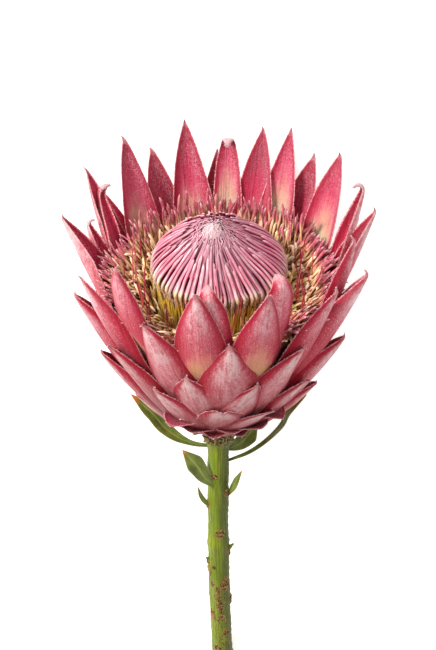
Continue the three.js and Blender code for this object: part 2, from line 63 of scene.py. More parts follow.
def lin(r, g, b, a=1.0):
    """sRGB 0..255 to linear RGBA."""
    out = []
    for c in (r, g, b):
        c /= 255.0
        out.append(c / 12.92 if c <= 0.04045 else ((c + 0.055) / 1.055) ** 2.4)
    return (*out, a)


# ---------------------------------------------------------------- meshes
def build(name, verts, faces, attrs=None, mat=None, slot=None, nodes=(), flower=True):
    """One object from points and a list of face arrays, with its float or vector attributes."""
    co = lay(verts) if flower else verts
    low = co[:, 2] < 0.001  # what would reach the table is pressed flat against it
    co[low, 2] = 0.001 * np.exp(co[low, 2] / 0.001 - 1)
    me = bpy.data.meshes.new(name)
    me.vertices.add(len(co))
    me.vertices.foreach_set("co", np.ascontiguousarray(co, np.float32).ravel())
    faces = [np.asarray(f, np.int64) for f in faces if len(f)]
    loops = np.concatenate([f.ravel() for f in faces])
    sizes = np.concatenate([np.full(len(f), f.shape[1]) for f in faces])
    me.loops.add(len(loops))
    me.loops.foreach_set("vertex_index", loops.astype(np.int32))
    me.polygons.add(len(sizes))
    me.polygons.foreach_set("loop_start", np.concatenate([[0], np.cumsum(sizes)[:-1]]).astype(np.int32))
    me.update(calc_edges=True)
    me.validate()
    me.shade_smooth()
    for key, val in (attrs or {}).items():
        val = np.asarray(val, np.float32)
        kind = "FLOAT_VECTOR" if val.ndim == 2 else "FLOAT"
        at = me.attributes.new(key, kind, "POINT")
        at.data.foreach_set("vector" if val.ndim == 2 else "value", val.ravel())
    ob = bpy.data.objects.new(name, me)
    bpy.context.scene.collection.objects.link(ob)
    if mat:
        me.materials.append(mat)
    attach(ob, "root")
    if nodes:
        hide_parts(*nodes)
    return ob


def outward(verts, faces):
    """The faces turned so that the closed surface encloses a positive volume (in the row frame)."""
    p = lay(verts)
    vol = 0.0
    for f in faces:
        f = np.asarray(f)
        if not len(f):
            continue
        for k in range(1, f.shape[1] - 1):
            a, b, c = p[f[:, 0]], p[f[:, k]], p[f[:, k + 1]]
            vol += np.einsum("ij,ij->i", a, np.cross(b, c)).sum()
    return [np.asarray(f)[:, ::-1] if vol < 0 and len(f) else np.asarray(f) for f in faces]


def tubes(paths, radii, up, sides=8, flat=1.0):
    """Many closed tapering tubes. paths (m, n, 3), radii (m, n), up (m, n, 3) or (m, 3). Attributes t and top."""
    m, n, _ = paths.shape
    tan = np.gradient(paths, axis=1)
    tan /= np.linalg.norm(tan, axis=-1, keepdims=True) + 1e-12
    if up.ndim == 2:
        up = np.repeat(up[:, None, :], n, 1)
    side = np.cross(tan, up)
    side /= np.linalg.norm(side, axis=-1, keepdims=True) + 1e-12
    top = np.cross(side, tan)
    a = np.arange(sides) * 2 * math.pi / sides
    ca, sa = np.cos(a), np.sin(a)
    ring = paths[:, :, None] + radii[:, :, None, None] * (side[:, :, None] * ca[:, None] + flat * top[:, :, None] * sa[:, None])
    verts = np.concatenate([ring.reshape(m, -1, 3), paths[:, :1], paths[:, -1:]], 1)
    per = n * sides + 2
    i, s = np.meshgrid(np.arange(n - 1), np.arange(sides), indexing="ij")
    s2 = (s + 1) % sides
    quad = np.stack([i * sides + s, (i + 1) * sides + s, (i + 1) * sides + s2, i * sides + s2], -1).reshape(-1, 4)
    s = np.arange(sides)
    s2 = (s + 1) % sides
    tri = np.concatenate([np.stack([np.full(sides, n * sides), s, s2], -1), np.stack([np.full(sides, n * sides + 1), (n - 1) * sides + s2, (n - 1) * sides + s], -1)])
    base = (np.arange(m) * per)[:, None, None]
    t = np.concatenate([np.repeat(np.linspace(0, 1, n), sides), [0, 1]])
    tp = np.concatenate([np.tile(sa, n), [0, 0]])
    attrs = {"t": np.tile(t, m), "top": np.tile(tp, m)}
    return verts.reshape(-1, 3), [(quad[None] + base).reshape(-1, 4), (tri[None] + base).reshape(-1, 3)], attrs, per


def joined(parts):
    """Several (verts, faces, attrs) as one."""
    vs, fs, at, o = [], {}, {}, 0
    for v, f, a in parts:
        vs.append(v)
        for q in f:
            q = np.asarray(q)
            if len(q):
                fs.setdefault(q.shape[1], []).append(q + o)
        for k, x in a.items():
            at.setdefault(k, []).append(x)
        o += len(v)
    return np.concatenate(vs), [np.concatenate(q) for q in fs.values()], {k: np.concatenate(x) for k, x in at.items()}


# ---------------------------------------------------------------- node trees
class Look:
    """A material's node tree, built by short calls."""

    def __init__(self, name):
        self.mat = bpy.data.materials.new(name)
        self.mat.use_nodes = True
        self.t = self.mat.node_tree
        self.t.nodes.clear()
        out = self.t.nodes.new("ShaderNodeOutputMaterial")
        self.bsdf = self.t.nodes.new("ShaderNodeBsdfPrincipled")
        self.t.links.new(self.bsdf.outputs[0], out.inputs[0])

    def put(self, sock, val):
        if isinstance(val, bpy.types.NodeSocket):
            self.t.links.new(val, sock)
        else:
            sock.default_value = val

    def m(self, op, a, b=0.0, clamp=False):
        n = self.t.nodes.new("ShaderNodeMath")
        n.operation, n.use_clamp = op, clamp
        self.put(n.inputs[0], a)
        self.put(n.inputs[1], b)
        return n.outputs[0]

    def attr(self, name, vector=False):
        n = self.t.nodes.new("ShaderNodeAttribute")
        n.attribute_name = name
        return n.outputs["Vector" if vector else "Fac"]

    def step(self, x, lo, hi, a=0.0, b=1.0):
        n = self.t.nodes.new("ShaderNodeMapRange")
        n.interpolation_type = "SMOOTHSTEP"
        for k, v in zip(range(5), (x, lo, hi, a, b)):
            self.put(n.inputs[k], v)
        return n.outputs[0]

    def mix(self, f, a, b, blend="MIX"):
        n = self.t.nodes.new("ShaderNodeMix")
        n.data_type, n.blend_type = "RGBA", blend
        self.put(n.inputs[0], f)
        self.put(n.inputs[6], a)
        self.put(n.inputs[7], b)
        return n.outputs[2]

    def ramp(self, f, stops):
        n = self.t.nodes.new("ShaderNodeValToRGB")
        el = n.color_ramp.elements
        el[0].position, el[0].color = stops[0]
        el[1].position, el[1].color = stops[-1]
        for pos, col in stops[1:-1]:
            e = el.new(pos)
            e.color = col
        self.put(n.inputs[0], f)
        return n.outputs[0]

    def scaled(self, vec, s):
        n = self.t.nodes.new("ShaderNodeVectorMath")
        n.operation = "MULTIPLY"
        self.put(n.inputs[0], vec)
        n.inputs[1].default_value = s
        return n.outputs[0]

    def noise(self, vec, scale, detail=2.0, rough=0.5, dist=0.0):
        n = self.t.nodes.new("ShaderNodeTexNoise")
        self.put(n.inputs["Vector"], vec)
        n.inputs["Scale"].default_value = scale
        n.inputs["Detail"].default_value = detail
        n.inputs["Roughness"].default_value = rough
        n.inputs["Distortion"].default_value = dist
        return n.outputs[0]

    def voronoi(self, vec, scale, feature="F1"):
        n = self.t.nodes.new("ShaderNodeTexVoronoi")
        n.feature = feature
        self.put(n.inputs["Vector"], vec)
        n.inputs["Scale"].default_value = scale
        return n.outputs["Distance"]

    def object_mm(self):
        n = self.t.nodes.new("ShaderNodeTexCoord")
        return self.scaled(n.outputs["Object"], (1000, 1000, 1000))

    def bump(self, height, strength, dist, normal=None):
        n = self.t.nodes.new("ShaderNodeBump")
        n.inputs["Strength"].default_value = strength
        n.inputs["Distance"].default_value = dist
        self.put(n.inputs["Height"], height)
        if normal is not None:
            self.put(n.inputs["Normal"], normal)
        return n.outputs[0]

    def done(self, color, rough=0.6, normal=None, sheen=0.0, sheen_tint=(1, 0.92, 0.95, 1), spec=0.35, sheen_rough=0.5):
        self.put(self.bsdf.inputs["Base Color"], color)
        self.put(self.bsdf.inputs["Roughness"], rough)
        self.bsdf.inputs["Specular IOR Level"].default_value = spec
        self.bsdf.inputs["Sheen Weight"].default_value = sheen
        self.bsdf.inputs["Sheen Roughness"].default_value = sheen_rough
        self.bsdf.inputs["Sheen Tint"].default_value = sheen_tint
        if normal is not None:
            self.put(self.bsdf.inputs["Normal"], normal)
        return self.mat


# ---------------------------------------------------------------- materials
def bract_look(name):
    L = Look(name)
    u, v, face = L.attr("u"), L.attr("v"), L.attr("face")
    tone_and_shade, silver, cream = L.attr("tone_and_shade"), L.attr("silver"), L.attr("cream")
    flat = L.attr("flat", True)  # across mm, along mm, seed
    rim_mm, sunny = L.attr("rim_mm"), L.attr("sunny")  # distance from the side edge, side that takes the light (for the painted highlight and painted shade)
    av = L.m("ABSOLUTE", v)
    cloud = L.noise(L.scaled(flat, (0.20, 0.09, 1)), 1.0, 3.0, 0.6)
    mottle = L.noise(L.scaled(flat, (0.55, 0.30, 1)), 1.0, 3.0, 0.65)
    streak = L.noise(L.scaled(flat, (1.5, 0.06, 1)), 1.0, 3.0, 0.6)
    fine = L.noise(L.scaled(flat, (2.3, 1.5, 1)), 1.0, 2.0, 0.65)
    grain = L.noise(L.scaled(flat, (1.9, 1.5, 1)), 1.0, 2.0, 0.65)
    # how far past the cream foot a point is, softened by cloud and streaks
    w = L.m("SUBTRACT", u, cream)
    w = L.m("MULTIPLY", w, L.step(face, 0.40, 0.60, 1.0, 1.7))
    w = L.m("ADD", w, L.m("MULTIPLY", L.m("SUBTRACT", cloud, 0.5), 0.30))
    w = L.m("ADD", w, L.m("MULTIPLY", L.m("SUBTRACT", streak, 0.5), 0.24))
    w = L.m("ADD", w, L.m("MULTIPLY", L.m("POWER", av, 2.0), 0.36))
    w = L.m("ADD", w, 0.5)
    inner = L.ramp(w, [
        (0.20, lin(226, 196, 160)),
        (0.38, lin(228, 156, 136)),
        (0.52, lin(216, 92, 108)),
        (0.64, lin(200, 38, 76)),
        (0.84, lin(178, 8, 54)),
        (1.00, lin(150, 2, 38)),
    ])
    outer = L.ramp(w, [
        (0.26, lin(220, 172, 114)),
        (0.38, lin(222, 138, 114)),
        (0.52, lin(196, 60, 86)),
        (0.70, lin(186, 28, 66)),
        (0.88, lin(192, 30, 70)),
        (1.00, lin(190, 34, 70)),
    ])
    blotch = L.step(mottle, 0.35, 0.68)
    outer = L.mix(L.m("MULTIPLY", blotch, 0.20), outer, lin(232, 100, 128))
    inner = L.mix(L.m("MULTIPLY", blotch, 0.14), inner, lin(226, 70, 104))
    # silvery down on the outer face: thickest along the middle and towards the tip, in patches
    patch = L.m("ADD", L.m("MULTIPLY", cloud, 0.60), L.m("MULTIPLY", mottle, 0.55))
    patch = L.m("ADD", patch, L.m("MULTIPLY", streak, 0.16))
    patch = L.m("ADD", patch, L.m("MULTIPLY", fine, 0.22))
    down = L.step(patch, 0.60, 0.98)
    wide = L.m("ADD", av, L.m("MULTIPLY", L.m("SUBTRACT", mottle, 0.5), 0.7))
    mid = L.step(wide, 0.85, 0.25)
    high = L.m("MAXIMUM", L.step(u, 0.50, 0.95, 0.04, 1.20), L.m("MULTIPLY", L.step(silver, 0.80, 1.05), L.step(u, 0.05, 0.55, 0.2, 1.0)))
    flank = L.attr("flank")  # blades at the sides wear their down right out to the edge
    mid = L.m("MAXIMUM", mid, L.m("MULTIPLY", flank, 0.9))
    bare = L.m("SUBTRACT", 1.0, L.m("MULTIPLY", flank, L.step(face, 0.3, 0.7, 0.85, 0.0)))
    down = L.m("MULTIPLY", L.m("MULTIPLY", L.m("ADD", down, 0.22), mid), high)
    down = L.m("MULTIPLY", down, silver, clamp=True)
    outer = L.mix(down, outer, L.mix(L.step(silver, 0.9, 1.15), lin(244, 208, 210), lin(226, 190, 190)))
    keel = L.m("MULTIPLY", L.step(av, 0.09, 0.0), L.step(u, 0.5, 0.95))
    outer = L.mix(L.m("MULTIPLY", keel, 0.35), outer, lin(238, 208, 208))
    edge = L.m("MAXIMUM", L.step(wide, 0.55, 0.92), L.m("MULTIPLY", L.step(silver, 0.80, 1.0), L.step(wide, 0.48, 0.80)))
    outer = L.mix(L.m("MULTIPLY", L.m("MULTIPLY", edge, bare), 0.85), outer, lin(172, 4, 44))
    inner = L.mix(L.m("MULTIPLY", L.step(wide, 0.5, 1.0), 0.75), inner, lin(190, 2, 54))
    # painted highlight: the upper part of an inner face, most of all the half turned to the light, is flecked with pale
    # pink, partly real frost and partly painted light
    lit = L.m("MAXIMUM", L.m("MULTIPLY", L.step(sunny, -0.15, 0.85), L.step(u, 0.45, 0.85)), L.step(u, 0.58, 0.94, 0.0, 0.45))
    inner = L.mix(L.m("MULTIPLY", L.m("MULTIPLY", lit, L.step(fine, 0.36, 0.62)), 0.72), inner, lin(242, 158, 178))
    inner = L.mix(L.step(streak, 0.62, 0.80, 0.0, 0.16), inner, lin(240, 150, 150))
    # painted light: the blades on the shaded side are painted a brighter crimson, standing in for light that comes
    # through them
    inner = L.mix(L.m("MULTIPLY", L.attr("painted_glow"), 0.55), inner, lin(246, 40, 96))
    inner = L.mix(L.step(streak, 0.42, 0.22, 0.0, 0.35), inner, lin(160, 14, 56))
    inner = L.mix(1.0, inner, (0.85, 0.97, 0.97, 1), "MULTIPLY")
    outer = L.mix(L.m("MULTIPLY", L.step(u, 0.84, 0.56), L.step(w, 0.36, 0.54)), outer, (0.92, 0.56, 0.62, 1), "MULTIPLY")  # low on the outside the down is thin and the crimson is bare
    col = L.mix(L.step(face, 0.40, 0.60), outer, inner)
    # frost of short hairs
    frost = L.step(fine, 0.54, 0.74)
    body = L.m("MULTIPLY", L.m("MAXIMUM", L.step(wide, 0.9, 0.4), 0.25), L.m("MAXIMUM", L.step(u, 0.25, 0.85, 0.30, 1.2), L.m("MULTIPLY", L.step(silver, 0.8, 1.05), L.step(u, 0.15, 0.60, 0.3, 1.0))))  # the down thins out towards the sides
    body = L.m("MULTIPLY", body, L.m("MAXIMUM", L.step(face, 0.7, 0.3), L.step(sunny, -0.2, 0.8, 0.30, 1.15)))  # and on an inner face it is painted out on the half turned from the light, as painted shade
    col = L.mix(L.m("MULTIPLY", L.m("MULTIPLY", frost, body), L.step(face, 0.3, 0.7, 0.32, 0.10)), col, lin(250, 212, 212))
    dots = L.step(grain, 0.57, 0.68)
    col = L.mix(L.m("MULTIPLY", L.m("MULTIPLY", dots, body), L.step(face, 0.3, 0.7, 0.46, 0.20)), col, lin(255, 236, 236))
    dark = L.step(fine, 0.46, 0.26)
    col = L.mix(L.m("MULTIPLY", dark, 0.42), col, lin(146, 4, 40))
    deep = L.m("MULTIPLY", L.step(L.m("ADD", rim_mm, L.m("MULTIPLY", L.m("SUBTRACT", mottle, 0.5), 2.4)), 3.6, 0.8), L.step(u, 0.1, 0.4, 0.4, 1.0))
    col = L.mix(L.m("MULTIPLY", L.m("MULTIPLY", deep, bare), 0.62), col, lin(158, 4, 40))
    # pale rim, partly its own fringe of hairs and partly a painted highlight along the edge, and a brownish point
    rim = L.m("MULTIPLY", L.step(face, 0.02, 0.35), L.step(face, 0.98, 0.65))
    rim = L.m("MAXIMUM", rim, L.step(rim_mm, 0.45, 0.18))
    beads = L.noise(L.scaled(flat, (1.1, 1.5, 1)), 1.0, 2.0, 0.6)
    rim = L.m("MULTIPLY", rim, L.step(beads, 0.42, 0.56, 0.15, 1.0))
    col = L.mix(L.m("MULTIPLY", rim, 0.70), col, lin(250, 200, 200))
    # silvery fluff on the very tip
    fluff = L.m("MULTIPLY", L.step(L.m("ADD", u, L.m("MULTIPLY", L.m("SUBTRACT", beads, 0.5), 0.04)), 0.955, 0.99), L.attr("fluff"))
    col = L.mix(fluff, col, lin(248, 222, 224))
    col = L.mix(L.m("MULTIPLY", L.step(u, 0.965, 1.0), 0.6), col, lin(140, 60, 60))
    # painted shade: each bract is darkened by its tone and painted shade value, three times as strongly at the foot,
    # where it lies under its neighbours, as at the tip; on silvery bracts towards a neutral grey-mauve
    shade = L.mix(L.m("MULTIPLY", tone_and_shade, L.step(u, 0.15, 0.9, 1.5, 0.5), clamp=True), (0.97, 0.93, 0.93, 1), L.mix(L.step(silver, 0.74, 1.0), lin(176, 80, 96), lin(182, 136, 132)))
    col = L.mix(1.0, col, shade, "MULTIPLY")
    rough = L.step(fine, 0.3, 0.7, 0.46, 0.66)
    ribs = L.noise(L.scaled(flat, (0.9, 0.03, 1)), 1.0, 2.0, 0.5)
    n = L.bump(ribs, 0.6, 0.0014)
    n = L.bump(mottle, 0.4, 0.0008, n)
    n = L.bump(fine, 0.5, 0.0005, n)
    n = L.bump(grain, 0.5, 0.0003, n)
    return L.done(col, rough, n, sheen=0.05, spec=0.22)


def hair_look(name):
    """Fine silvery hairs: whiter at the ends."""
    L = Look(name)
    t, seed = L.attr("t"), L.attr("seed")
    c = L.mix(t, lin(240, 186, 196), lin(255, 240, 240))
    c = L.mix(L.step(seed, 0.5, 1.0, 0.0, 0.4), c, lin(240, 206, 190))
    c = L.mix(L.step(L.noise(L.object_mm(), 0.8, 2.0), 0.35, 0.65, 0.0, 0.3), c, lin(224, 150, 170))
    return L.done(c, 0.5, None, sheen=0.05, spec=0.3)


def rod_look(name):
    """The unopened florets of the dome: yellow claws, a pale bend, silky pink limbs, pale ends."""
    L = Look(name)
    t, top, seed = L.attr("t"), L.attr("top"), L.attr("seed")
    place, deep = L.attr("place"), L.attr("deep")  # 0 at the crown, 1 at the rim, past 1 down the wall; deep is painted shade, 1 on rods lying deeper
    o = L.object_mm()
    fine = L.noise(o, 2.0, 2.0, 0.6)
    hair = L.noise(L.scaled(L.attr("lines", True), (1.2, 0.32, 1)), 1.0, 3.0, 0.6)
    p = L.m("ADD", place, L.m("MULTIPLY", L.m("SUBTRACT", seed, 0.5), 0.12))
    p = L.m("ADD", p, L.m("MULTIPLY", L.m("SUBTRACT", fine, 0.5), 0.10))
    c = L.ramp(L.m("MULTIPLY", p, 0.5), [
        (0.00, lin(236, 216, 220)),
        (0.035, lin(218, 174, 184)),
        (0.08, lin(202, 124, 146)),
        (0.26, lin(200, 96, 124)),
        (0.38, lin(212, 84, 118)),
        (0.435, lin(224, 122, 142)),
        (0.475, lin(238, 186, 182)),
        (0.51, lin(242, 220, 184)),
        (0.55, lin(234, 206, 124)),
        (0.61, lin(224, 186, 66)),
        (0.72, lin(222, 180, 52)),
        (0.86, lin(170, 128, 36)),
        (1.00, lin(104, 82, 34)),
    ])
    # painted shade: the flanks and undersides of each rod are painted dark crimson, ochre on the claws, for the shade
    # between the rods
    flank = L.step(top, 0.50, -0.35)
    rod_shade_color = L.mix(L.step(place, 0.86, 1.0), lin(130, 8, 44), lin(188, 142, 36))
    c = L.mix(L.m("MULTIPLY", flank, 0.85), c, rod_shade_color)
    # the silky hair and pale ends are painted only along the top of each rod and whitest right on top: partly the rods'
    # own pale hair, partly painted highlight
    lit_crest = L.step(top, 0.05, 0.85)
    pink = L.step(place, 1.02, 0.9)
    hairs = L.m("MULTIPLY", L.step(hair, 0.30, 0.66, 0.35, 1.0), lit_crest)
    c = L.mix(L.m("MULTIPLY", L.m("MULTIPLY", hairs, pink), 0.56), c, lin(240, 200, 208))
    white = L.m("MULTIPLY", L.m("MULTIPLY", L.step(hair, 0.52, 0.70), pink), L.step(top, 0.5, 0.98))
    c = L.mix(L.m("MULTIPLY", white, 0.78), c, lin(255, 238, 238))
    end = L.m("MULTIPLY", L.step(t, 0.93, 1.0), lit_crest)
    c = L.mix(L.m("MULTIPLY", end, 0.3), c, lin(248, 232, 236))
    # painted shade: rods lying deeper and those on the dome's side away from the light are painted dark wine
    c = L.mix(L.m("MULTIPLY", deep, 0.55), c, lin(120, 16, 58))
    c = L.mix(1.0, c, L.step(seed, 0.0, 1.0, 0.64, 0.96), "MULTIPLY")
    n = L.bump(fine, 0.5, 0.0004)
    return L.done(c, 0.6, n, sheen=0.04, spec=0.22)


def strap_look(name):
    """The opened florets: cream straps, ochre by the dome, hairy mauve-pink ends in the outer rows."""
    L = Look(name)
    t, top, seed, row = L.attr("t"), L.attr("top"), L.attr("seed"), L.attr("row")
    o = L.object_mm()
    fine = L.noise(o, 2.2, 2.0, 0.6)
    tt = L.m("ADD", t, L.m("MULTIPLY", L.m("SUBTRACT", fine, 0.5), 0.14))
    ochre = L.ramp(tt, [(0.0, lin(176, 120, 34)), (0.35, lin(222, 176, 66)), (0.7, lin(242, 204, 108)), (1.0, lin(254, 232, 176))])
    cream = L.ramp(tt, [(0.0, lin(128, 42, 34)), (0.35, lin(220, 156, 100)), (0.7, lin(250, 208, 158)), (1.0, lin(255, 230, 208))])
    mauve = L.ramp(tt, [(0.0, lin(120, 34, 30)), (0.20, lin(204, 150, 84)), (0.46, lin(240, 192, 140)), (0.60, lin(202, 92, 104)), (0.84, lin(188, 76, 98)), (1.0, lin(244, 198, 200))])
    c = L.mix(L.step(row, 0.0, 0.4), ochre, cream)
    c = L.mix(L.step(row, 0.5, 0.9), c, mauve)
    # painted shade: the underside of each strap is painted dark ochre in the inner rows and dark crimson in the outer
    # ones
    c = L.mix(L.step(top, 0.1, -0.8, 0.0, 0.6), c, L.mix(L.step(row, 0.0, 0.8), lin(140, 86, 30), lin(128, 26, 40)))
    c = L.mix(L.m("MULTIPLY", L.step(fine, 0.52, 0.72), 0.5), c, lin(252, 234, 226))
    c = L.mix(1.0, c, L.step(seed, 0.0, 1.0, 0.66, 1.02), "MULTIPLY")
    n = L.bump(fine, 0.5, 0.0004)
    return L.done(c, 0.6, n, sheen=0.03, spec=0.2)


def style_look(name):
    L = Look(name)
    t, seed = L.attr("t"), L.attr("seed")
    o = L.object_mm()
    fine = L.noise(o, 1.2, 2.0, 0.6)
    c = L.ramp(t, [(0.0, lin(206, 120, 110)), (0.35, lin(176, 40, 62)), (0.8, lin(150, 16, 50)), (1.0, lin(120, 10, 42))])
    c = L.mix(L.step(seed, 0.55, 1.0, 0.0, 0.5), c, lin(224, 120, 118))
    c = L.mix(L.step(fine, 0.5, 0.7, 0.0, 0.35), c, lin(226, 100, 112))
    return L.done(c, 0.4, L.bump(fine, 0.3, 0.0003), spec=0.5)


def bed_look(name, dark, light, wall=None):
    L = Look(name)
    o = L.object_mm()
    a = L.noise(o, 0.9, 3.0, 0.6)
    c = L.mix(L.step(a, 0.35, 0.7), dark, light)
    if wall:
        c = L.mix(L.attr("wall"), c, L.mix(L.step(a, 0.35, 0.7), *wall))
    return L.done(c, 0.85, L.bump(a, 0.8, 0.001), sheen=0.1, spec=0.2)


def stem_look(name):
    L = Look(name)
    scar, pink, scurf, cut, flat = L.attr("scar"), L.attr("pink"), L.attr("scurf"), L.attr("cut"), L.attr("flat", True)
    o = L.object_mm()
    long = L.noise(L.scaled(flat, (1.1, 0.045, 1)), 1.0, 3.0, 0.6)
    cloud = L.noise(L.scaled(flat, (0.12, 0.05, 1)), 1.0, 2.0, 0.5)
    fine = L.noise(o, 2.4, 2.0, 0.6)
    c = L.mix(L.step(cloud, 0.3, 0.72), lin(118, 138, 28), lin(148, 158, 42))
    c = L.mix(L.step(long, 0.35, 0.7), c, lin(92, 98, 18))
    # painted shade: the side of the stem turned from the light is painted dark olive
    c = L.mix(L.m("MULTIPLY", L.attr("away"), 0.7), c, lin(66, 66, 18))
    c = L.mix(L.step(long, 0.60, 0.80, 0.0, 0.5), c, lin(166, 168, 88))
    crust = L.step(L.noise(L.scaled(flat, (0.55, 0.32, 1)), 1.0, 3.0, 0.7), 0.66, 0.74)
    c = L.mix(L.m("MULTIPLY", crust, 0.75), c, lin(104, 72, 44))
    speck = L.step(L.noise(L.scaled(flat, (1.5, 0.9, 1)), 1.0, 2.0, 0.6), 0.64, 0.74)
    c = L.mix(L.m("MULTIPLY", speck, 0.45), c, lin(150, 140, 90))
    c = L.mix(L.m("MULTIPLY", L.step(fine, 0.35, 0.2), 0.3), c, lin(74, 86, 34))
    flake = L.noise(L.scaled(flat, (0.95, 0.75, 1)), 1.0, 2.0, 0.6)
    brown = L.mix(L.step(flake, 0.42, 0.58), lin(62, 38, 18), lin(158, 118, 76))
    brown = L.mix(L.step(flake, 0.62, 0.72), brown, lin(206, 176, 132))
    sc = L.m("ADD", scar, L.m("MULTIPLY", L.m("SUBTRACT", flake, 0.5), 1.6))
    c = L.mix(L.step(sc, 0.30, 0.50), c, brown)
    flaky = L.m("MULTIPLY", L.attr("crusty"), L.step(L.noise(L.scaled(flat, (0.62, 0.24, 1)), 1.0, 3.0, 0.7), 0.50, 0.60))
    c = L.mix(flaky, c, brown)
    pk = L.m("ADD", pink, L.m("MULTIPLY", L.m("SUBTRACT", fine, 0.5), 0.5))
    c = L.mix(L.step(pk, 0.4, 0.7, 0.0, 0.7), c, lin(176, 112, 92))
    sf = L.m("ADD", scurf, L.m("MULTIPLY", L.m("SUBTRACT", fine, 0.5), 1.3))
    c = L.mix(L.step(sf, 0.45, 0.75), c, L.mix(L.step(flake, 0.46, 0.58), lin(58, 40, 22), lin(168, 144, 98)))
    ring = L.ramp(L.m("SUBTRACT", 1.0, cut), [(0.0, lin(226, 224, 190)), (0.35, lin(214, 216, 168)), (0.7, lin(176, 190, 120)), (0.86, lin(120, 130, 70)), (1.0, lin(128, 150, 60))])
    c = L.mix(L.step(cut, 0.001, 0.02), c, ring)
    c = L.mix(L.step(cut, 0.001, 0.02, 1.0, 0.0), c, L.mix(1.0, c, (0.86, 0.90, 0.62, 1), "MULTIPLY"))
    n = L.bump(long, 0.5, 0.0007)
    n = L.bump(flake, 0.5, 0.0006, n)
    n = L.bump(fine, 0.5, 0.0004, n)
    return L.done(c, L.step(sc, 0.3, 0.6, 0.46, 0.8), n, spec=0.25)


def leaf_look(name):
    L = Look(name)
    u, v, flat, warm = L.attr("u"), L.attr("v"), L.attr("flat", True), L.attr("warm")
    av = L.m("ABSOLUTE", v)
    cloud = L.noise(L.scaled(flat, (0.25, 0.12, 1)), 1.0, 3.0, 0.6)
    fine = L.noise(L.scaled(flat, (2.0, 1.6, 1)), 1.0, 2.0, 0.6)
    c = L.mix(L.step(cloud, 0.3, 0.7), lin(76, 92, 26), lin(116, 126, 52))
    c = L.mix(L.m("MULTIPLY", L.step(av, 0.16, 0.02), 0.6), c, lin(156, 160, 76))
    c = L.mix(L.step(av, 0.84, 0.98, 0.0, 0.5), c, lin(160, 150, 66))
    tip = L.m("MULTIPLY", L.step(L.m("ADD", u, L.m("MULTIPLY", cloud, 0.2)), 0.94, 1.10), warm)
    c = L.mix(tip, c, lin(190, 112, 40))
    c = L.mix(L.m("MULTIPLY", L.step(fine, 0.58, 0.75), 0.3), c, lin(150, 156, 96))
    n = L.bump(fine, 0.35, 0.0004)
    n = L.bump(cloud, 0.4, 0.001, n)
    return L.done(c, 0.5, n, spec=0.4)


M_BRACT = bract_look("downy_bract")
M_INNER = bract_look("inner_bract")
M_ROD = rod_look("floret_rods")
M_STRAP = strap_look("open_florets")
M_STYLE = style_look("red_styles")
# painted shade: the core under the rods is dark magenta, so the gaps between the rods read as shade; ochre on the wall
# under the rim
M_CORE_SHADE = bed_look("dome_core", lin(118, 22, 56), lin(156, 48, 84), (lin(140, 96, 28), lin(186, 142, 48)))
# painted shade: the floret bed is painted dark red-brown, for the shade between the opened florets
M_BED_SHADE = bed_look("floret_bed", lin(92, 26, 30), lin(150, 84, 48))
M_HAIR = hair_look("silvery_hairs")
M_CUP = bed_look("cup", lin(130, 48, 62), lin(188, 108, 112))
M_STEM = stem_look("green_bark")
M_LEAF = leaf_look("leathery_leaf")

# ---------------------------------------------------------------- receptacle and bracts
CUP = np.array([(5.5, 4.5), (10, 5.2), (16, 7.5), (21, 10.5), (26, 14.5), (30, 20), (33, 27.5), (35.5, 37), (37, 50), (38, 62), (38.5, 72)], float)

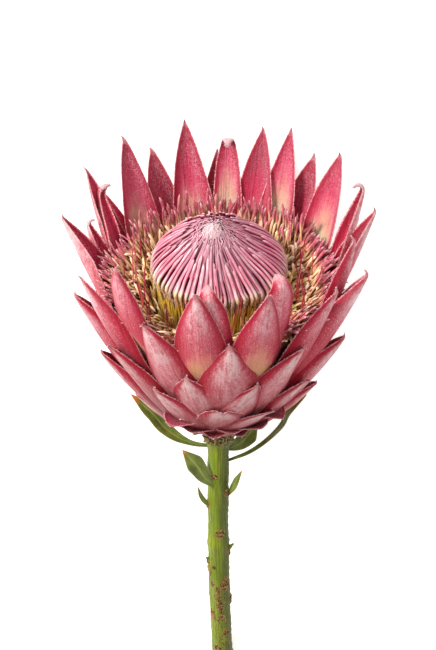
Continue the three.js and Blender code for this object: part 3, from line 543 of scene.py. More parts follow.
# name, foot azimuth, tip azimuth, R, h, foot height, lean at foot and tip, half width, cup depth, widest station, taper p, q, hook, hook start
BRACTS = [
    ("inner_01", -166.9, -166.9, 83, 149.29, 52, 8, -8, 12.5, 0.3, 0.5, 1.9, 0.9, 0, 0.9),
    ("inner_02", 176.1, 176.1, 80, 141.02, 52, 8, -8, 8.6, 0.3, 0.5, 3.4, 0.6, -60, 0.86),
    ("inner_03", 163, 163, 83, 145.74, 52, 8, -8, 12, 0.3, 0.5, 1.9, 0.9, 0, 0.9),
    ("inner_04", 151.35, 152.35, 85, 147.02, 48, 8, -8, 11.5, 0.3, 0.5, 1.9, 0.9, 0, 0.9),
    ("inner_05", 121.75, 129.75, 85, 141.83, 52, 8, -8, 14, 0.3, 0.5, 2.2, 0.9, 0, 0.9),
    ("inner_06", 101, 113, 85, 136.6, 50, 12, -10, 8.5, 0.9, 0.5, 1.9, 0.9, 0, 0.9),
    ("inner_07", 74.9, 62.9, 77, 135.92, 48, 14, -14, 11, 0.45, 0.5, 1.9, 0.9, 0, 0.9),
    ("inner_08", 29.7, 27.7, 69, 125.85, 48, 10, -12, 10.5, 0.3, 0.55, 3.2, 0.6, -40, 0.88),
    ("inner_09", -0.3, -5.3, 67, 122.14, 48, 8, -10, 10, 0.3, 0.5, 3.2, 0.6, -60, 0.86),
    ("inner_10", -52.65, -42.65, 76, 130.27, 46, 10, -10, 13.5, 0.3, 0.5, 1.9, 0.9, 0, 0.9),
    ("inner_11", -102.6, -114.6, 78, 113.49, 48, 14, -14, 11, 0.45, 0.5, 1.9, 0.9, 0, 0.9),
    ("inner_12", -113.5, -127.5, 82, 127.2, 50, 12, -12, 9, 0.8, 0.5, 1.9, 0.9, 0, 0.9),
    ("inner_13", -131.55, -131.55, 83, 118.22, 44, 8, -8, 11, 0.3, 0.5, 1.9, 0.9, 0, 0.9),
    ("inner_14", -136.85, -141.85, 83, 146.38, 50, 8, -8, 13, 0.3, 0.5, 1.9, 0.9, 0, 0.9),
    ("tall_01", -154.85, -154.85, 87, 133.87, 40, 8, -6, 12, 0.3, 0.5, 2.2, 0.9, 0, 0.9),
    ("tall_02", -178.3, -179.3, 87, 128.48, 40, 8, -6, 11, 0.3, 0.5, 1.9, 0.9, 0, 0.9),
    ("tall_03", 143.2, 143.2, 87, 134.03, 40, 8, -6, 12, 0.3, 0.5, 2.4, 0.9, 0, 0.9),
    ("tall_04", 117.5, 119.5, 87, 110.99, 40, 8, -6, 10, 0.3, 0.5, 1.9, 0.9, 0, 0.9),
    ("tall_05", 98.35, 102.35, 85, 126.22, 36, 8, -6, 13, 0.45, 0.5, 1.9, 0.9, 0, 0.9),
    ("tall_06", 61.15, 65.15, 84, 116.45, 28, 10, -6, 15, 0.5, 0.5, 1.9, 0.9, 0, 0.9),
    ("tall_07", 48.05, 52.05, 76, 112.58, 34, 10, -8, 15, 0.4, 0.5, 1.9, 0.9, 0, 0.9),
    ("tall_08", 18.7, 20.7, 71, 120.7, 38, 12, -14, 14.5, 0.3, 0.5, 1.9, 0.9, 0, 0.9),
    ("tall_09", -9.45, -9.45, 71, 123.36, 38, 12, -14, 15, 0.3, 0.5, 1.9, 0.9, 0, 0.9),
    ("tall_10", -59.15, -63.15, 79, 114.76, 32, 10, -8, 15, 0.4, 0.5, 1.9, 0.9, 0, 0.9),
    ("tall_11", -98.55, -100.55, 84.5, 123.76, 36, 8, -6, 13.5, 0.45, 0.5, 1.9, 0.9, 0, 0.9),
    ("tall_12", -121.05, -125.05, 87, 134.81, 40, 8, -8, 11.5, 0.3, 0.5, 1.9, 0.9, 0, 0.9),
    ("mid_01", 5.15, 5.15, 61, 88.04, 22, 18, -18, 18.5, 0.2, 0.5, 1.9, 0.9, 0, 0.9),
    ("mid_02", -27, -34, 68, 98.64, 28, 12, -10, 17, 0.4, 0.5, 1.9, 0.9, 0, 0.9),
    ("mid_03", 30.15, 42.15, 65, 80.27, 22, 10, -6, 16, 0.35, 0.5, 1.9, 0.9, 0, 0.9),
    ("mid_04", 59.8, 67.8, 71, 75.24, 18, 12, -6, 15, 0.5, 0.5, 1.9, 0.9, 0, 0.9),
    ("mid_05", -67.95, -71.95, 79, 98.83, 25, 10, -6, 14.5, 0.5, 0.5, 1.9, 0.9, 0, 0.9),
    ("mid_06", -88, -91, 64, 68, 26, 11, -8, 15, 0.3, 0.5, 1.9, 0.9, 0, 0.9),
    ("mid_07", -113, -110, 72, 80, 27, 11, -8, 15, 0.3, 0.5, 1.9, 0.9, 0, 0.9),
    ("mid_08", -129, -132, 80, 88, 28, 11, -8, 15, 0.3, 0.5, 1.9, 0.9, 0, 0.9),
    ("mid_09", -157, -154, 88, 92, 28, 11, -8, 15, 0.3, 0.5, 1.9, 0.9, 0, 0.9),
    ("mid_10", -175, -178, 75, 84, 29, 11, -8, 15, 0.3, 0.5, 1.9, 0.9, 0, 0.9),
    ("mid_11", 151, 154, 88, 92, 28, 11, -8, 15, 0.3, 0.5, 1.9, 0.9, 0, 0.9),
    ("mid_12", 135, 132, 80, 88, 28, 11, -8, 15, 0.3, 0.5, 1.9, 0.9, 0, 0.9),
    ("mid_13", 107, 110, 72, 80, 27, 11, -8, 15, 0.3, 0.5, 1.9, 0.9, 0, 0.9),
    ("mid_14", 92, 89, 62, 68, 26, 11, -8, 15, 0.3, 0.5, 1.9, 0.9, 0, 0.9),
    ("low_01", 2.85, 20.85, 56, 60.29, 13, 10, -12, 16, 0.2, 0.5, 1.9, 0.9, 0, 0.9),
    ("low_02", -11.45, -17.45, 57, 65.99, 14, 10, -12, 17, 0.2, 0.5, 1.9, 0.9, 0, 0.9),
    ("low_03", -47.1, -57.1, 67, 74.82, 18, 12, -6, 15, 0.45, 0.5, 1.9, 0.9, 0, 0.9),
    ("low_04", 41.4, 51.4, 59, 54.99, 11, 12, -6, 13, 0.3, 0.5, 1.9, 0.9, 0, 0.9),
    ("low_05", -66.9, -74.9, 65, 60.85, 14, 12, -6, 14, 0.45, 0.5, 1.9, 0.9, 0, 0.9),
    ("low_06", -22.75, -36.75, 56, 53.32, 9, 14, -8, 14, 0.25, 0.5, 1.9, 0.9, 0, 0.9),
    ("low_07", 62.35, 68.35, 56, 43.7, 10, 14, -6, 13, 0.45, 0.5, 1.9, 0.9, 0, 0.9),
    ("low_08", -95, -98, 56, 48, 14, 11, -8, 14.5, 0.3, 0.5, 1.9, 0.9, 0, 0.9),
    ("low_09", -125, -122, 64, 54, 15, 11, -8, 14.5, 0.3, 0.5, 1.9, 0.9, 0, 0.9),
    ("low_10", -143, -146, 68, 56, 15, 11, -8, 14.5, 0.3, 0.5, 1.9, 0.9, 0, 0.9),
    ("low_11", -173, -170, 70, 57, 15, 11, -8, 14.5, 0.3, 0.5, 1.9, 0.9, 0, 0.9),
    ("low_12", 169, 166, 70, 57, 15, 11, -8, 14.5, 0.3, 0.5, 1.9, 0.9, 0, 0.9),
    ("low_13", 139, 142, 68, 56, 15, 11, -8, 14.5, 0.3, 0.5, 1.9, 0.9, 0, 0.9),
    ("low_14", 121, 118, 64, 52, 15, 11, -8, 14.5, 0.3, 0.5, 1.9, 0.9, 0, 0.9),
    ("low_15", 91, 94, 54, 44, 14, 11, -8, 14.5, 0.3, 0.5, 1.9, 0.9, 0, 0.9),
    ("base_01", 1.15, 1.15, 50, 44.2, 6, 26, -18, 15, 0.1, 0.5, 3, 0.9, 0, 0.9),
    ("base_02", 15.45, 33.45, 49, 40.51, 6.5, 22, -12, 12, 0.15, 0.5, 1.9, 0.9, 0, 0.9),
    ("base_03", -15.4, -25.4, 45, 34.41, 6, 24, -12, 13, 0.2, 0.5, 1.9, 0.9, 0, 0.9),
    ("base_04", 40, 46, 46, 31.09, 6, 20, -8, 11, 0.35, 0.5, 1.9, 0.9, 0, 0.9),
    ("base_05", -62.75, -72.75, 47, 32.96, 8, 16, -6, 12, 0.45, 0.5, 1.9, 0.9, 0, 0.9),
    ("base_06", -40.15, -40.15, 44, 28.79, 5.5, 22, -8, 11, 0.4, 0.5, 1.9, 0.9, 0, 0.9),
    ("base_07", 4.2, 4.2, 36, 24.21, 5.2, 26, -14, 12, 0.1, 0.5, 1.9, 0.9, 0, 0.9),
    ("base_08", -97, -100, 44, 28, 7.5, 11, -8, 12.5, 0.3, 0.5, 1.9, 0.9, 0, 0.9),
    ("base_09", -129, -126, 46, 28, 7.5, 11, -8, 12.5, 0.3, 0.5, 1.9, 0.9, 0, 0.9),
    ("base_10", -149, -152, 48, 29, 7.5, 11, -8, 12.5, 0.3, 0.5, 1.9, 0.9, 0, 0.9),
    ("base_11", -181, -178, 48, 28, 7.5, 11, -8, 12.5, 0.3, 0.5, 1.9, 0.9, 0, 0.9),
    ("base_12", 159, 156, 48, 29, 7.5, 11, -8, 12.5, 0.3, 0.5, 1.9, 0.9, 0, 0.9),
    ("base_13", 127, 130, 46, 28, 7.5, 11, -8, 12.5, 0.3, 0.5, 1.9, 0.9, 0, 0.9),
    ("base_14", 107, 104, 44, 26, 7.5, 11, -8, 12.5, 0.3, 0.5, 1.9, 0.9, 0, 0.9),
]
GROWN_IN = {"mid_06", "mid_14", "base_06", "base_07"} | {"low_%02d" % i for i in range(8, 16)} | {"base_%02d" % i for i in range(8, 15)}

# how each bract differs: tone and painted shade (darker), silver (down outside), cream (where the cream foot ends)
TONE_AND_SHADE = {"mid_01": 0.62, "tall_01": 0.25, "tall_02": 0.6, "tall_03": 0.15, "tall_04": 0.5}


# the lowest scales, as they really lie: loosely overlapping, their tips turned outwards
LOOSE = {
    "base_01": ("base_01", 1.15, 1.15, 50, 44.2, 21, 10, -16, 13, 0.1, 0.5, 3, 0.9, 0, 0.9),
    "base_02": ("base_02", 12, 33.45, 49, 40.5, 15, 12, -10, 12, 0.15, 0.5, 1.9, 0.9, 0, 0.9),
    "base_03": ("base_03", -8, -28, 41.5, 32.0, 12, 10, 6, 11, 0.15, 0.5, 2.4, 0.8, 0, 0.9),
    "base_04": ("base_04", 39, 43, 48.5, 32.4, 10, -8, 22, 13, 0.2, 0.5, 2.4, 0.75, 0, 0.9),
    "base_06": ("base_06", -30, -34, 45.5, 29.0, 9, -6, 22, 13, 0.15, 0.5, 2.6, 0.7, 0, 0.9),
    "base_07": ("base_07", 30, 31.5, 42.5, 25.4, 7.5, 0, 12, 13, 0.1, 0.5, 2.6, 0.65, 0, 0.9),
}
# tips: bend in degrees (minus is inwards), where it starts, drift sideways mm, how much the tip is drawn out, fluff
TIPS = {
    "inner_01": (-20, 0.975, 0, 0.0, 0.2), "inner_02": (-165, 0.925, 0, 1.3, 0.9), "inner_03": (-30, 0.975, -0.3, 0.0, 0.2),
    "inner_04": (-60, 0.97, 0.6, 0.2, 0.3), "inner_05": (-50, 0.975, -0.3, 0.1, 0.2), "inner_06": (-165, 0.93, 1.6, 0.5, 0.9),
    "inner_07": (-60, 0.96, 0, 0.2, 0.4), "inner_08": (-120, 0.91, 0, 0.5, 0.5), "inner_09": (-110, 0.92, 0, 0.5, 0.5),
    "inner_10": (-50, 0.97, 0.4, 0.1, 0.3), "inner_11": (-130, 0.95, 1.0, 0.4, 0.8), "inner_12": (-135, 0.93, 1.4, 0.4, 0.9),
    "tall_05": (-70, 0.97, 0.3, 0.3, 0.2), "tall_06": (-90, 0.97, 0, 0.4, 0.3), "tall_07": (-50, 0.97, 0, 0.2, 0.4),
    "tall_10": (40, 0.975, 0, 0.1, 0.3), "tall_11": (-60, 0.975, 0, 0.2, 0.2), "tall_12": (60, 0.975, 0.4, 0.3, 0.2),
    "base_02": (35, 0.72, 0, 0.0, 0.3), "base_03": (30, 0.80, 0, 0.0, 0.8), "base_04": (25, 0.70, 0, 0.0, 0.2),
    "base_06": (25, 0.70, 0, 0.0, 0.3), "base_07": (15, 0.80, 0, 0.0, 0.2), "base_01": (20, 0.9, 0, 0.0, 0.5),
}
# where the cream foot of the inner face ends, as a share of the length
FOOT = {"inner_01": 0.64, "inner_02": 0.84, "inner_03": 0.58, "inner_04": 0.77, "inner_05": 0.73, "inner_06": 0.66, "inner_12": 0.68, "inner_13": 0.60, "inner_14": 0.70, "inner_11": 0.62}
FOLD = {"tall_11": 0.8, "tall_12": 0.62, "inner_11": 0.9, "inner_12": 0.9, "tall_10": 0.5, "mid_05": 0.7, "tall_05": 0.7, "tall_06": 0.72, "inner_07": 0.7, "mid_04": 0.6}
BLUNT = {"inner_02": 3.0, "inner_06": 1.7, "inner_08": 2.8, "inner_09": 3.2, "inner_11": 1.5, "inner_12": 3.2}
ROOTS = []  # places along the rims where hairs grow: point, direction, share of the length, fluff


def bract(row, k, nu=46, nv=18):
    name, f0, f1, R, H, hb, a0, a1, W, dep, um, p, q, hook, uh = LOOSE.get(row[0], row)
    dep = FOLD.get(name, dep)
    rng = np.random.default_rng(100 + k)
    own = np.random.default_rng(900 + k)
    bend = own.uniform(35, 95) * (1 if own.random() < 0.55 else -1)
    hook, uh, drift, draw, fluff = TIPS.get(name, (bend, 0.97, own.uniform(-0.5, 0.5), 0.2, own.uniform(0.1, 0.45)))
    sink = 2.5 if name in GROWN_IN else 0.6
    P0, P3 = np.array([np.interp(hb, CUP[:, 1], CUP[:, 0]) - sink, hb]), np.array([R, H], float)
    d = P3 - P0
    Lc = math.hypot(*d)
    chord = math.atan2(d[0], d[1])
    t0, t1, m = chord + math.radians(a0), chord + math.radians(a1), 0.38 * Lc
    P1 = P0 + m * np.array([math.sin(t0), math.cos(t0)])
    P2 = P3 - m * np.array([math.sin(t1), math.cos(t1)])
    N = 240
    uu = np.linspace(0, 1, N + 1)[:, None]
    P = (1 - uu) ** 3 * P0 + 3 * (1 - uu) ** 2 * uu * P1 + 3 * (1 - uu) * uu**2 * P2 + uu**3 * P3
    dP = 3 * (1 - uu) ** 2 * (P1 - P0) + 6 * (1 - uu) * uu * (P2 - P1) + 3 * uu**2 * (P3 - P2)
    th = np.arctan2(dP[:, 0], dP[:, 1])
    uu = uu[:, 0]
    if hook:
        over = np.clip((uu - uh) / (1 - uh), 0, 1)
        th = th + math.radians(hook) * over**1.3
        sp = np.linalg.norm(dP, axis=1) / N * (1 + draw * smooth(over, 0, 0.3))
        for i in range(1, N + 1):
            if uu[i] > uh:
                a = (th[i] + th[i - 1]) / 2
                P[i] = P[i - 1] + sp[i] * np.array([math.sin(a), math.cos(a)])
    x = np.linspace(0, 1, nu + 1)
    u = 1 - (1 - x) ** 1.5
    r, h, th = np.interp(u, uu, P[:, 0]), np.interp(u, uu, P[:, 1]), np.interp(u, uu, th)
    seg = np.hypot(np.diff(P[:, 0]), np.diff(P[:, 1]))
    along = np.interp(u, uu, np.concatenate([[0], np.cumsum(seg)]))
    s = np.clip((u - um) / (1 - um), 0, 1)
    shape = np.where(u <= um, 0.75 + 0.25 * np.sin(np.clip(u / um, 0, 1) * math.pi / 2), (1 - s**p) ** q)
    blunt = BLUNT.get(name, 0.38)
    w = np.maximum(W * shape, 0.38 + (blunt - 0.38) * np.sqrt(np.clip(1 - (np.clip(u - 0.93, 0, 1) / 0.07) ** 2, 0, 1)))
    dd = 0.1 + (dep - 0.1) * np.clip((u - 0.15) / 0.6, 0, 1) ** 1.2
    az = np.radians(f0 + (f1 - f0) * u**1.6) + drift * (1 if math.cos(math.radians(f1)) > 0 else -1) * np.clip((u - uh) / (1 - uh), 0, 1) ** 2 / np.maximum(r, 3)
    v = np.sin(np.linspace(-1, 1, nv + 1) * math.pi / 2)
    U, V = u[:, None], v[None, :]
    ph = rng.uniform(0, 2 * math.pi, 4)
    wob = 1 + 0.025 * np.sin(7 * U + ph[0] + V) + 0.02 * np.sin(15 * U + ph[1] - 2 * V)
    lat = V * w[:, None] * wob / np.sqrt(1 + 1.4 * (dd[:, None] * V) ** 2)
    off = dd[:, None] * w[:, None] * V**2
    wave = (0.35 * np.sin(9 * U + ph[2]) * V**3 + 0.28 * np.sin(5 * U + ph[3] + 1.5 * V)) * smooth(U, 0.15, 0.5) * np.clip(w[:, None] / 8, 0, 1)
    crease = -0.35 * np.exp(-((V / 0.12) ** 2)) * smooth(U, 0.35, 0.8) * np.clip(w[:, None] / 6, 0, 1)
    off = off + wave + crease
    rr = r[:, None] - np.cos(th)[:, None] * off
    hh = h[:, None] + np.sin(th)[:, None] * off
    an = az[:, None] + lat / np.maximum(r, 3)[:, None]
    G = np.stack([rr * np.sin(an), rr * np.cos(an), hh], -1)
    if name == "base_01":  # a notch in the middle of the lowest scale's edge
        back = 2.6 * smooth(U, 0.84, 0.99) * np.exp(-(((lat - 0.6) / 2.2) ** 2))
        G = G - back[..., None] * np.array([0.0, 0.43, 0.9])
    du, dv = np.gradient(G, axis=0), np.gradient(G, axis=1)
    n = np.cross(du, dv)
    n /= np.linalg.norm(n, axis=-1, keepdims=True) + 1e-12
    inward = np.stack([-np.cos(th)[:, None] * np.sin(an), -np.cos(th)[:, None] * np.cos(an), np.sin(th)[:, None] + 0 * an], -1)
    if (n * inward).sum() < 0:
        n = -n
    foot = 1.0 + 0.05 * W
    thick = (foot + (0.8 - foot) * U) * (0.22 + 0.78 * np.sqrt(np.clip(1 - V**4, 0, 1)))
    thick = thick * np.clip(w[:, None] / 1.5, 0.45, 1)
    inn, out = G + n * thick[..., None] / 2, G - n * thick[..., None] / 2
    nn, mm = nu + 1, nv + 1
    idx = np.arange(nn * mm).reshape(nn, mm)
    a, b, c, e = idx[:-1, :-1], idx[1:, :-1], idx[1:, 1:], idx[:-1, 1:]
    top = np.stack([a, b, c, e], -1).reshape(-1, 4)
    o = nn * mm
    bot = np.stack([a, e, c, b], -1).reshape(-1, 4) + o
    # the rim: one more line of points between the two faces, standing a little proud
    loop = np.concatenate([idx[:, 0], idx[-1, 1:], idx[-2::-1, -1], idx[0, -2:0:-1]])
    mid = (inn.reshape(-1, 3)[loop] + out.reshape(-1, 3)[loop]) / 2
    ctr = G.reshape(-1, 3)[np.clip(loop, 0, None)]
    side = np.zeros_like(mid)
    gi, gj = loop // mm, loop % mm
    side += np.where((gj == 0)[:, None], -dv[gi, gj], 0) + np.where((gj == mm - 1)[:, None], dv[gi, gj], 0) + np.where((gi == nn - 1)[:, None], du[gi, gj], 0)
    side /= np.linalg.norm(side, axis=1, keepdims=True) + 1e-9
    mid = mid + side * 0.16
    ROOTS.append((name, mid, side, n[gi, gj], u[gi], out.reshape(-1, 3), n.reshape(-1, 3), np.repeat(u, nv + 1), fluff))
    k2 = len(loop)
    rim = np.arange(k2) + 2 * o
    l2, r2 = np.roll(loop, -1), np.roll(rim, -1)
    rims = np.concatenate([np.stack([loop, rim, r2, l2], -1), np.stack([rim, loop + o, l2 + o, r2], -1)])
    verts = np.concatenate([inn.reshape(-1, 3), out.reshape(-1, 3), mid])
    ug, vg = np.repeat(u, mm), np.tile(v, nn)
    across = (V * w[:, None]).ravel()
    alongs = np.repeat(along, mm)
    seed = rng.random()
    fl = np.stack([across, alongs, np.full(o, seed * 60)], -1)
    fl2 = fl + np.array([40.0, 17.0, 9.0])
    whorl = name.split("_")[0].replace("foot", "base")
    facing_out = math.cos(math.radians(f1)) > 0.2
    # tone and painted shade: the lower whorls and the scales of the foot are painted darker, as shade under the head,
    # partly their own duller colour
    tone_and_shade = TONE_AND_SHADE.get(name, {"inner": 0.04, "tall": 0.18, "mid": 0.38, "low": 0.72, "base": 0.74}[whorl])
    tone_and_shade = tone_and_shade + (0.3 if name.startswith("foot") else 0.0)
    silver = {"inner": 0.50, "tall": 0.60, "mid": 0.92, "low": 1.3, "base": 1.5}[whorl]
    flank = float(smooth(abs((f1 + 180) % 360 - 180), 55, 80) * smooth(abs((f1 + 180) % 360 - 180), 140, 120)) if whorl in ("inner", "tall") else 0.0
    silver = silver + 0.5 * flank
    creams = {"inner": 0.52, "tall": 0.46, "mid": 0.34, "low": 0.22, "base": 0.12}[whorl]
    cr_in, cr_out = FOOT.get(name, creams + (0.10 if not facing_out and whorl in ("inner", "tall") else 0.0)), {"tall_08": 0.66, "tall_09": 0.64}.get(name, creams - 0.05)
    cr = np.concatenate([np.full(o, cr_in), np.full(o, cr_out), np.full(k2, creams)])
    tot = 2 * o + k2
    attrs = {
        "u": np.concatenate([ug, ug, ug[loop]]),
        "v": np.concatenate([vg, vg, vg[loop]]),
        "face": np.concatenate([np.ones(o), np.zeros(o), np.full(k2, 0.5)]),
        "flat": np.concatenate([fl, fl2, fl[loop]]),
        "tone_and_shade": np.full(tot, tone_and_shade + 0.1 * rng.random()),
        "silver": np.full(tot, silver * (0.8 + 0.4 * rng.random())),
        "cream": cr + 0.05 * (rng.random() - 0.5),
        "seed": np.full(tot, seed),
        "fluff": np.full(tot, fluff),
        "flank": np.full(tot, flank),
        "painted_glow": np.full(tot, float(smooth(-f1, 88, 102) * smooth(-f1, 142, 134)) if whorl in ("inner", "tall") else 0.0),
    }
    from_edge = ((1 - np.abs(V)) * w[:, None]).ravel()
    # sunny: which half of the blade takes the light, for the painted highlight and painted shade
    sun = (V * (1 if math.cos(math.radians(f1)) > 0 else -1) + 0 * U).ravel()
    attrs["rim_mm"] = np.concatenate([from_edge, from_edge, np.zeros(k2)])
    attrs["sunny"] = np.concatenate([sun, sun, sun[loop]])
    faces = outward(verts, [top, bot, rims])
    return verts, faces, attrs


cup_scales = []
for k, row in enumerate(BRACTS):
    made = bract(row, k)
    if row[0] in GROWN_IN:
        cup_scales.append(made)
    else:
        whorl = row[0].split("_")[0]
        inner = whorl == "inner"
        build("petal_" + row[0], *made, mat=M_INNER if inner else M_BRACT, slot="bract_inner" if inner else "bract", nodes=["bract_" + row[0]])
FEET = [
    # azimuth, reach, height, root height, half width, angles at the root and the end, bend of the tip
    (10, 38.5, 22.8, 5.6, 12.0, -6, 24, 10), (-7, 34.0, 17.2, 4.9, 8.0, -6, 24, 10), (-62, 36.0, 24.5, 7.5, 8.0, -8, 20, 20), (66, 37.0, 25.0, 7.5, 8.0, -8, 20, 20),
    (-24, 38.5, 22.0, 5.8, 11.0, -8, 14, 5), (37, 37.0, 20.8, 5.6, 11.0, -8, 14, 5), (20, 32.0, 16.0, 4.8, 8.0, -8, 22, 10), (90, 38, 24.0, 6.2, 11, 18, -8, 10), (124, 38, 23.5, 6.2, 11, 18, -8, 10), (158, 38, 23.0, 6.2, 11, 18, -8, 10), (-168, 38, 23.5, 6.2, 11, 18, -8, 10), (-133, 38, 24.0, 6.2, 11, 18, -8, 10), (-98, 38, 23.5, 6.2, 11, 18, -8, 10),
    (76, 30, 15.6, 5.0, 9, 16, -8, 12), (107, 30, 16.0, 5.0, 9, 16, -8, 12), (141, 30, 15.6, 5.0, 9, 16, -8, 12), (175, 30, 15.8, 5.0, 9, 16, -8, 12), (-151, 30, 15.6, 5.0, 9, 16, -8, 12), (-116, 30, 16.0, 5.0, 9, 16, -8, 12), (-80, 30, 15.6, 5.0, 9, 16, -8, 12),
]
for k, (a, R, H, hb, W, b0, b1, b) in enumerate(FEET):
    TIPS["foot_%02d" % k] = (b, 0.80, 0, 0.0, 0.2)
    cup_scales.append(bract(("foot_%02d" % k, a, a + 2, R, H, hb, b0, b1, W, 0.12, 0.55, 2.8, 0.6, 0, 0.9), 80 + k, nu=30, nv=14))
build("scales_of_the_foot", *joined(cup_scales), mat=M_BRACT, slot="receptacle", nodes=["receptacle"])


def hairs(roots, dirs, length, radius, seed, color=0.5):
    """Many fine closed spikes: one four-sided solid each."""
    rng = np.random.default_rng(seed)
    m = len(roots)
    d = dirs + 0.28 * rng.standard_normal((m, 3))
    d /= np.linalg.norm(d, axis=1, keepdims=True)
    a = np.cross(d, np.array([0.31, 0.42, 0.85]))
    a /= np.linalg.norm(a, axis=1, keepdims=True)
    b = np.cross(d, a)
    tips = roots + d * length[:, None]
    ring = [roots - d * 0.15 + radius[:, None] * (a * math.cos(q) + b * math.sin(q)) for q in (0, 2.0944, 4.18879)]
    V = np.stack(ring + [tips], 1).reshape(-1, 3)
    o = (np.arange(m) * 4)[:, None, None]
    F = (np.array([[0, 2, 1], [0, 1, 3], [1, 2, 3], [2, 0, 3]])[None] + o).reshape(-1, 3)
    at = {"t": np.tile([0.0, 0.0, 0.0, 1.0], m), "seed": np.repeat(rng.random(m), 4)}
    return V, [F], at


def rim_hairs():
    rng = np.random.default_rng(400)
    out = []
    for i, (name, mid, side, nrm, ur, face, fn, uf, fluff) in enumerate(ROOTS):
        if name in GROWN_IN and name not in ("base_06", "base_07", "low_08", "low_15", "base_08", "base_14"):
            continue
        ok = np.flatnonzero(ur > 0.25)
        m = 110
        p = ok[rng.integers(0, len(ok), m)]
        j = np.clip(p + 1, 0, len(mid) - 1)
        f = rng.random(m)[:, None]
        near = np.linalg.norm(mid[j] - mid[p], axis=1)[:, None] < 6
        base = np.where(near, mid[p] * (1 - f) + mid[j] * f, mid[p])
        out.append(hairs(base, side[p] + 0.5 * nrm[p] * rng.choice([-1, 1], m)[:, None], rng.uniform(0.5, 1.1, m), rng.uniform(0.06, 0.10, m), 500 + i))
        if fluff > 0.55 and not name.startswith("base"):
            q = np.flatnonzero(uf > 0.955)
            m = int(200 * fluff)
            q = q[rng.integers(0, len(q), m)]
            out.append(hairs(face[q] + rng.uniform(-0.25, 0.25, (m, 3)), -fn[q], rng.uniform(0.7, 1.5, m), rng.uniform(0.07, 0.11, m), 600 + i))
    return joined(out)


v, f, at = rim_hairs()
build("bract_hairs", v, outward(v, f), at, mat=M_HAIR, slot="bract")


def revolve(profile, segs=144, wobble=None, close=False):
    pr = np.asarray(profile, float)
    a = np.arange(segs) * 2 * math.pi / segs
    r, h = pr[:, 0][:, None] + 0 * a, pr[:, 1][:, None] + 0 * a
    if wobble is not None:
        dr, dh = wobble(np.arange(len(pr))[:, None], a[None, :])
        r, h = r + dr, h + dh
    V = np.stack([r * np.sin(a), r * np.cos(a), h], -1)
    n = len(pr)
    i, s = np.meshgrid(np.arange(n if close else n - 1), np.arange(segs), indexing="ij")
    s2, i2 = (s + 1) % segs, (i + 1) % n
    quad = np.stack([i * segs + s, i2 * segs + s, i2 * segs + s2, i * segs + s2], -1).reshape(-1, 4)
    V = V.reshape(-1, 3)
    return V, quad


def spline(pts, n):
    """Points spaced evenly along a Catmull-Rom line through pts."""
    p = np.asarray(pts, float)
    q = np.concatenate([[2 * p[0] - p[1]], p, [2 * p[-1] - p[-2]]])
    out = []
    t = np.linspace(0, 1, 24, endpoint=False)[:, None]
    for i in range(1, len(q) - 2):
        a, b, c, d = q[i - 1], q[i], q[i + 1], q[i + 2]
        out.append(0.5 * (2 * b + (c - a) * t + (2 * a - 5 * b + 4 * c - d) * t**2 + (3 * b - a - 3 * c + d) * t**3))
    out = np.concatenate(out + [p[-1:]])
    s = np.concatenate([[0], np.cumsum(np.linalg.norm(np.diff(out, axis=0), axis=1))])
    at = np.linspace(0, s[-1], n)
    return np.stack([np.interp(at, s, out[:, k]) for k in range(out.shape[1])], -1)


cup_line = spline([(0.6, 4.2), (5.5, 4.4), (10, 5.1), (16, 7.3), (21, 10.3), (26, 14.3), (30, 19.8), (33, 27.3), (35.4, 37), (36.9, 50), (37.2, 56), (36, 58.2), (30, 59.3), (24, 60.1), (12, 62), (0.6, 63.8)], 60)
V, Q = revolve(cup_line, 96, lambda i, a: (0.25 * np.sin(9 * a + i * 0.8) + 0.15 * np.sin(23 * a - i), 0 * a))
cap0, cap1 = len(V), len(V) + 1
V = np.concatenate([V, [[0, 0, 4.2], [0, 0, 63.8]]])
s = np.arange(96)
T = np.concatenate([np.stack([np.full(96, cap0), (s + 1) % 96, s], -1), np.stack([np.full(96, cap1), 59 * 96 + s, 59 * 96 + (s + 1) % 96], -1)])
build("cup_of_the_head", V, outward(V, [Q, T]), mat=M_CUP, slot="receptacle")

# ---------------------------------------------------------------- dome of unopened florets
PROFILE = spline([(30.6, 64), (30.8, 76), (31.4, 85), (32.4, 92), (33.6, 97.0), (34.7, 100.6), (34.6, 103.0), (33.0, 106.4), (29.5, 110.2), (25.0, 113.7), (19.8, 117.0), (14.4, 120.0), (8.2, 122.8), (0.05, 124.6)], 400)
ARC = np.concatenate([[0], np.cumsum(np.linalg.norm(np.diff(PROFILE, axis=0), axis=1))])
PN = np.gradient(PROFILE, axis=0)
PN /= np.linalg.norm(PN, axis=1, keepdims=True)
PN = np.stack([PN[:, 1], -PN[:, 0]], -1)  # outward
PN[PN[:, 0] + PN[:, 1] < 0] *= -1
I_RIM = int(np.argmax(PROFILE[:, 0]))
A_RIM, A_TOP = ARC[I_RIM], ARC[-1]


def forward(p, low=0.10, high=0.19):
    """The dome and its ring face a little forwards: the front is lower and the far side higher."""
    q = p.copy()
    k = low + (high - low) * smooth(p[..., 2], 101.0, 108.0)
    q[..., 2] = p[..., 2] - k * p[..., 1] * smooth(p[..., 2], 60.0, 80.0)
    if high > low:
        r = np.hypot(p[..., 0], p[..., 1])
        up = smooth(p[..., 2], 100.5, 106.0)
        q[..., 2] -= 2.3 * up * np.sin(np.clip(r / 34.0, 0, 1) * math.pi) * smooth(p[..., 1] / np.maximum(r, 1.0), -0.45, 0.35)
        q[..., 0] -= 2.4 * smooth(p[..., 2], 102.0, 124.0)
    return q


def on_dome(arc, lift):
    r, h = np.interp(arc, ARC, PROFILE[:, 0]), np.interp(arc, ARC, PROFILE[:, 1])
    nr, nh = np.interp(arc, ARC, PN[:, 0]), np.interp(arc, ARC, PN[:, 1])
    return r + nr * lift, h + nh * lift, nr, nh


def place_of(arc):
    """1 at the rim, 0 at the crown, 2 at the foot of the claws."""
    return np.where(arc > A_RIM, (A_TOP - arc) / (A_TOP - A_RIM), 1 + (A_RIM - arc) / A_RIM)


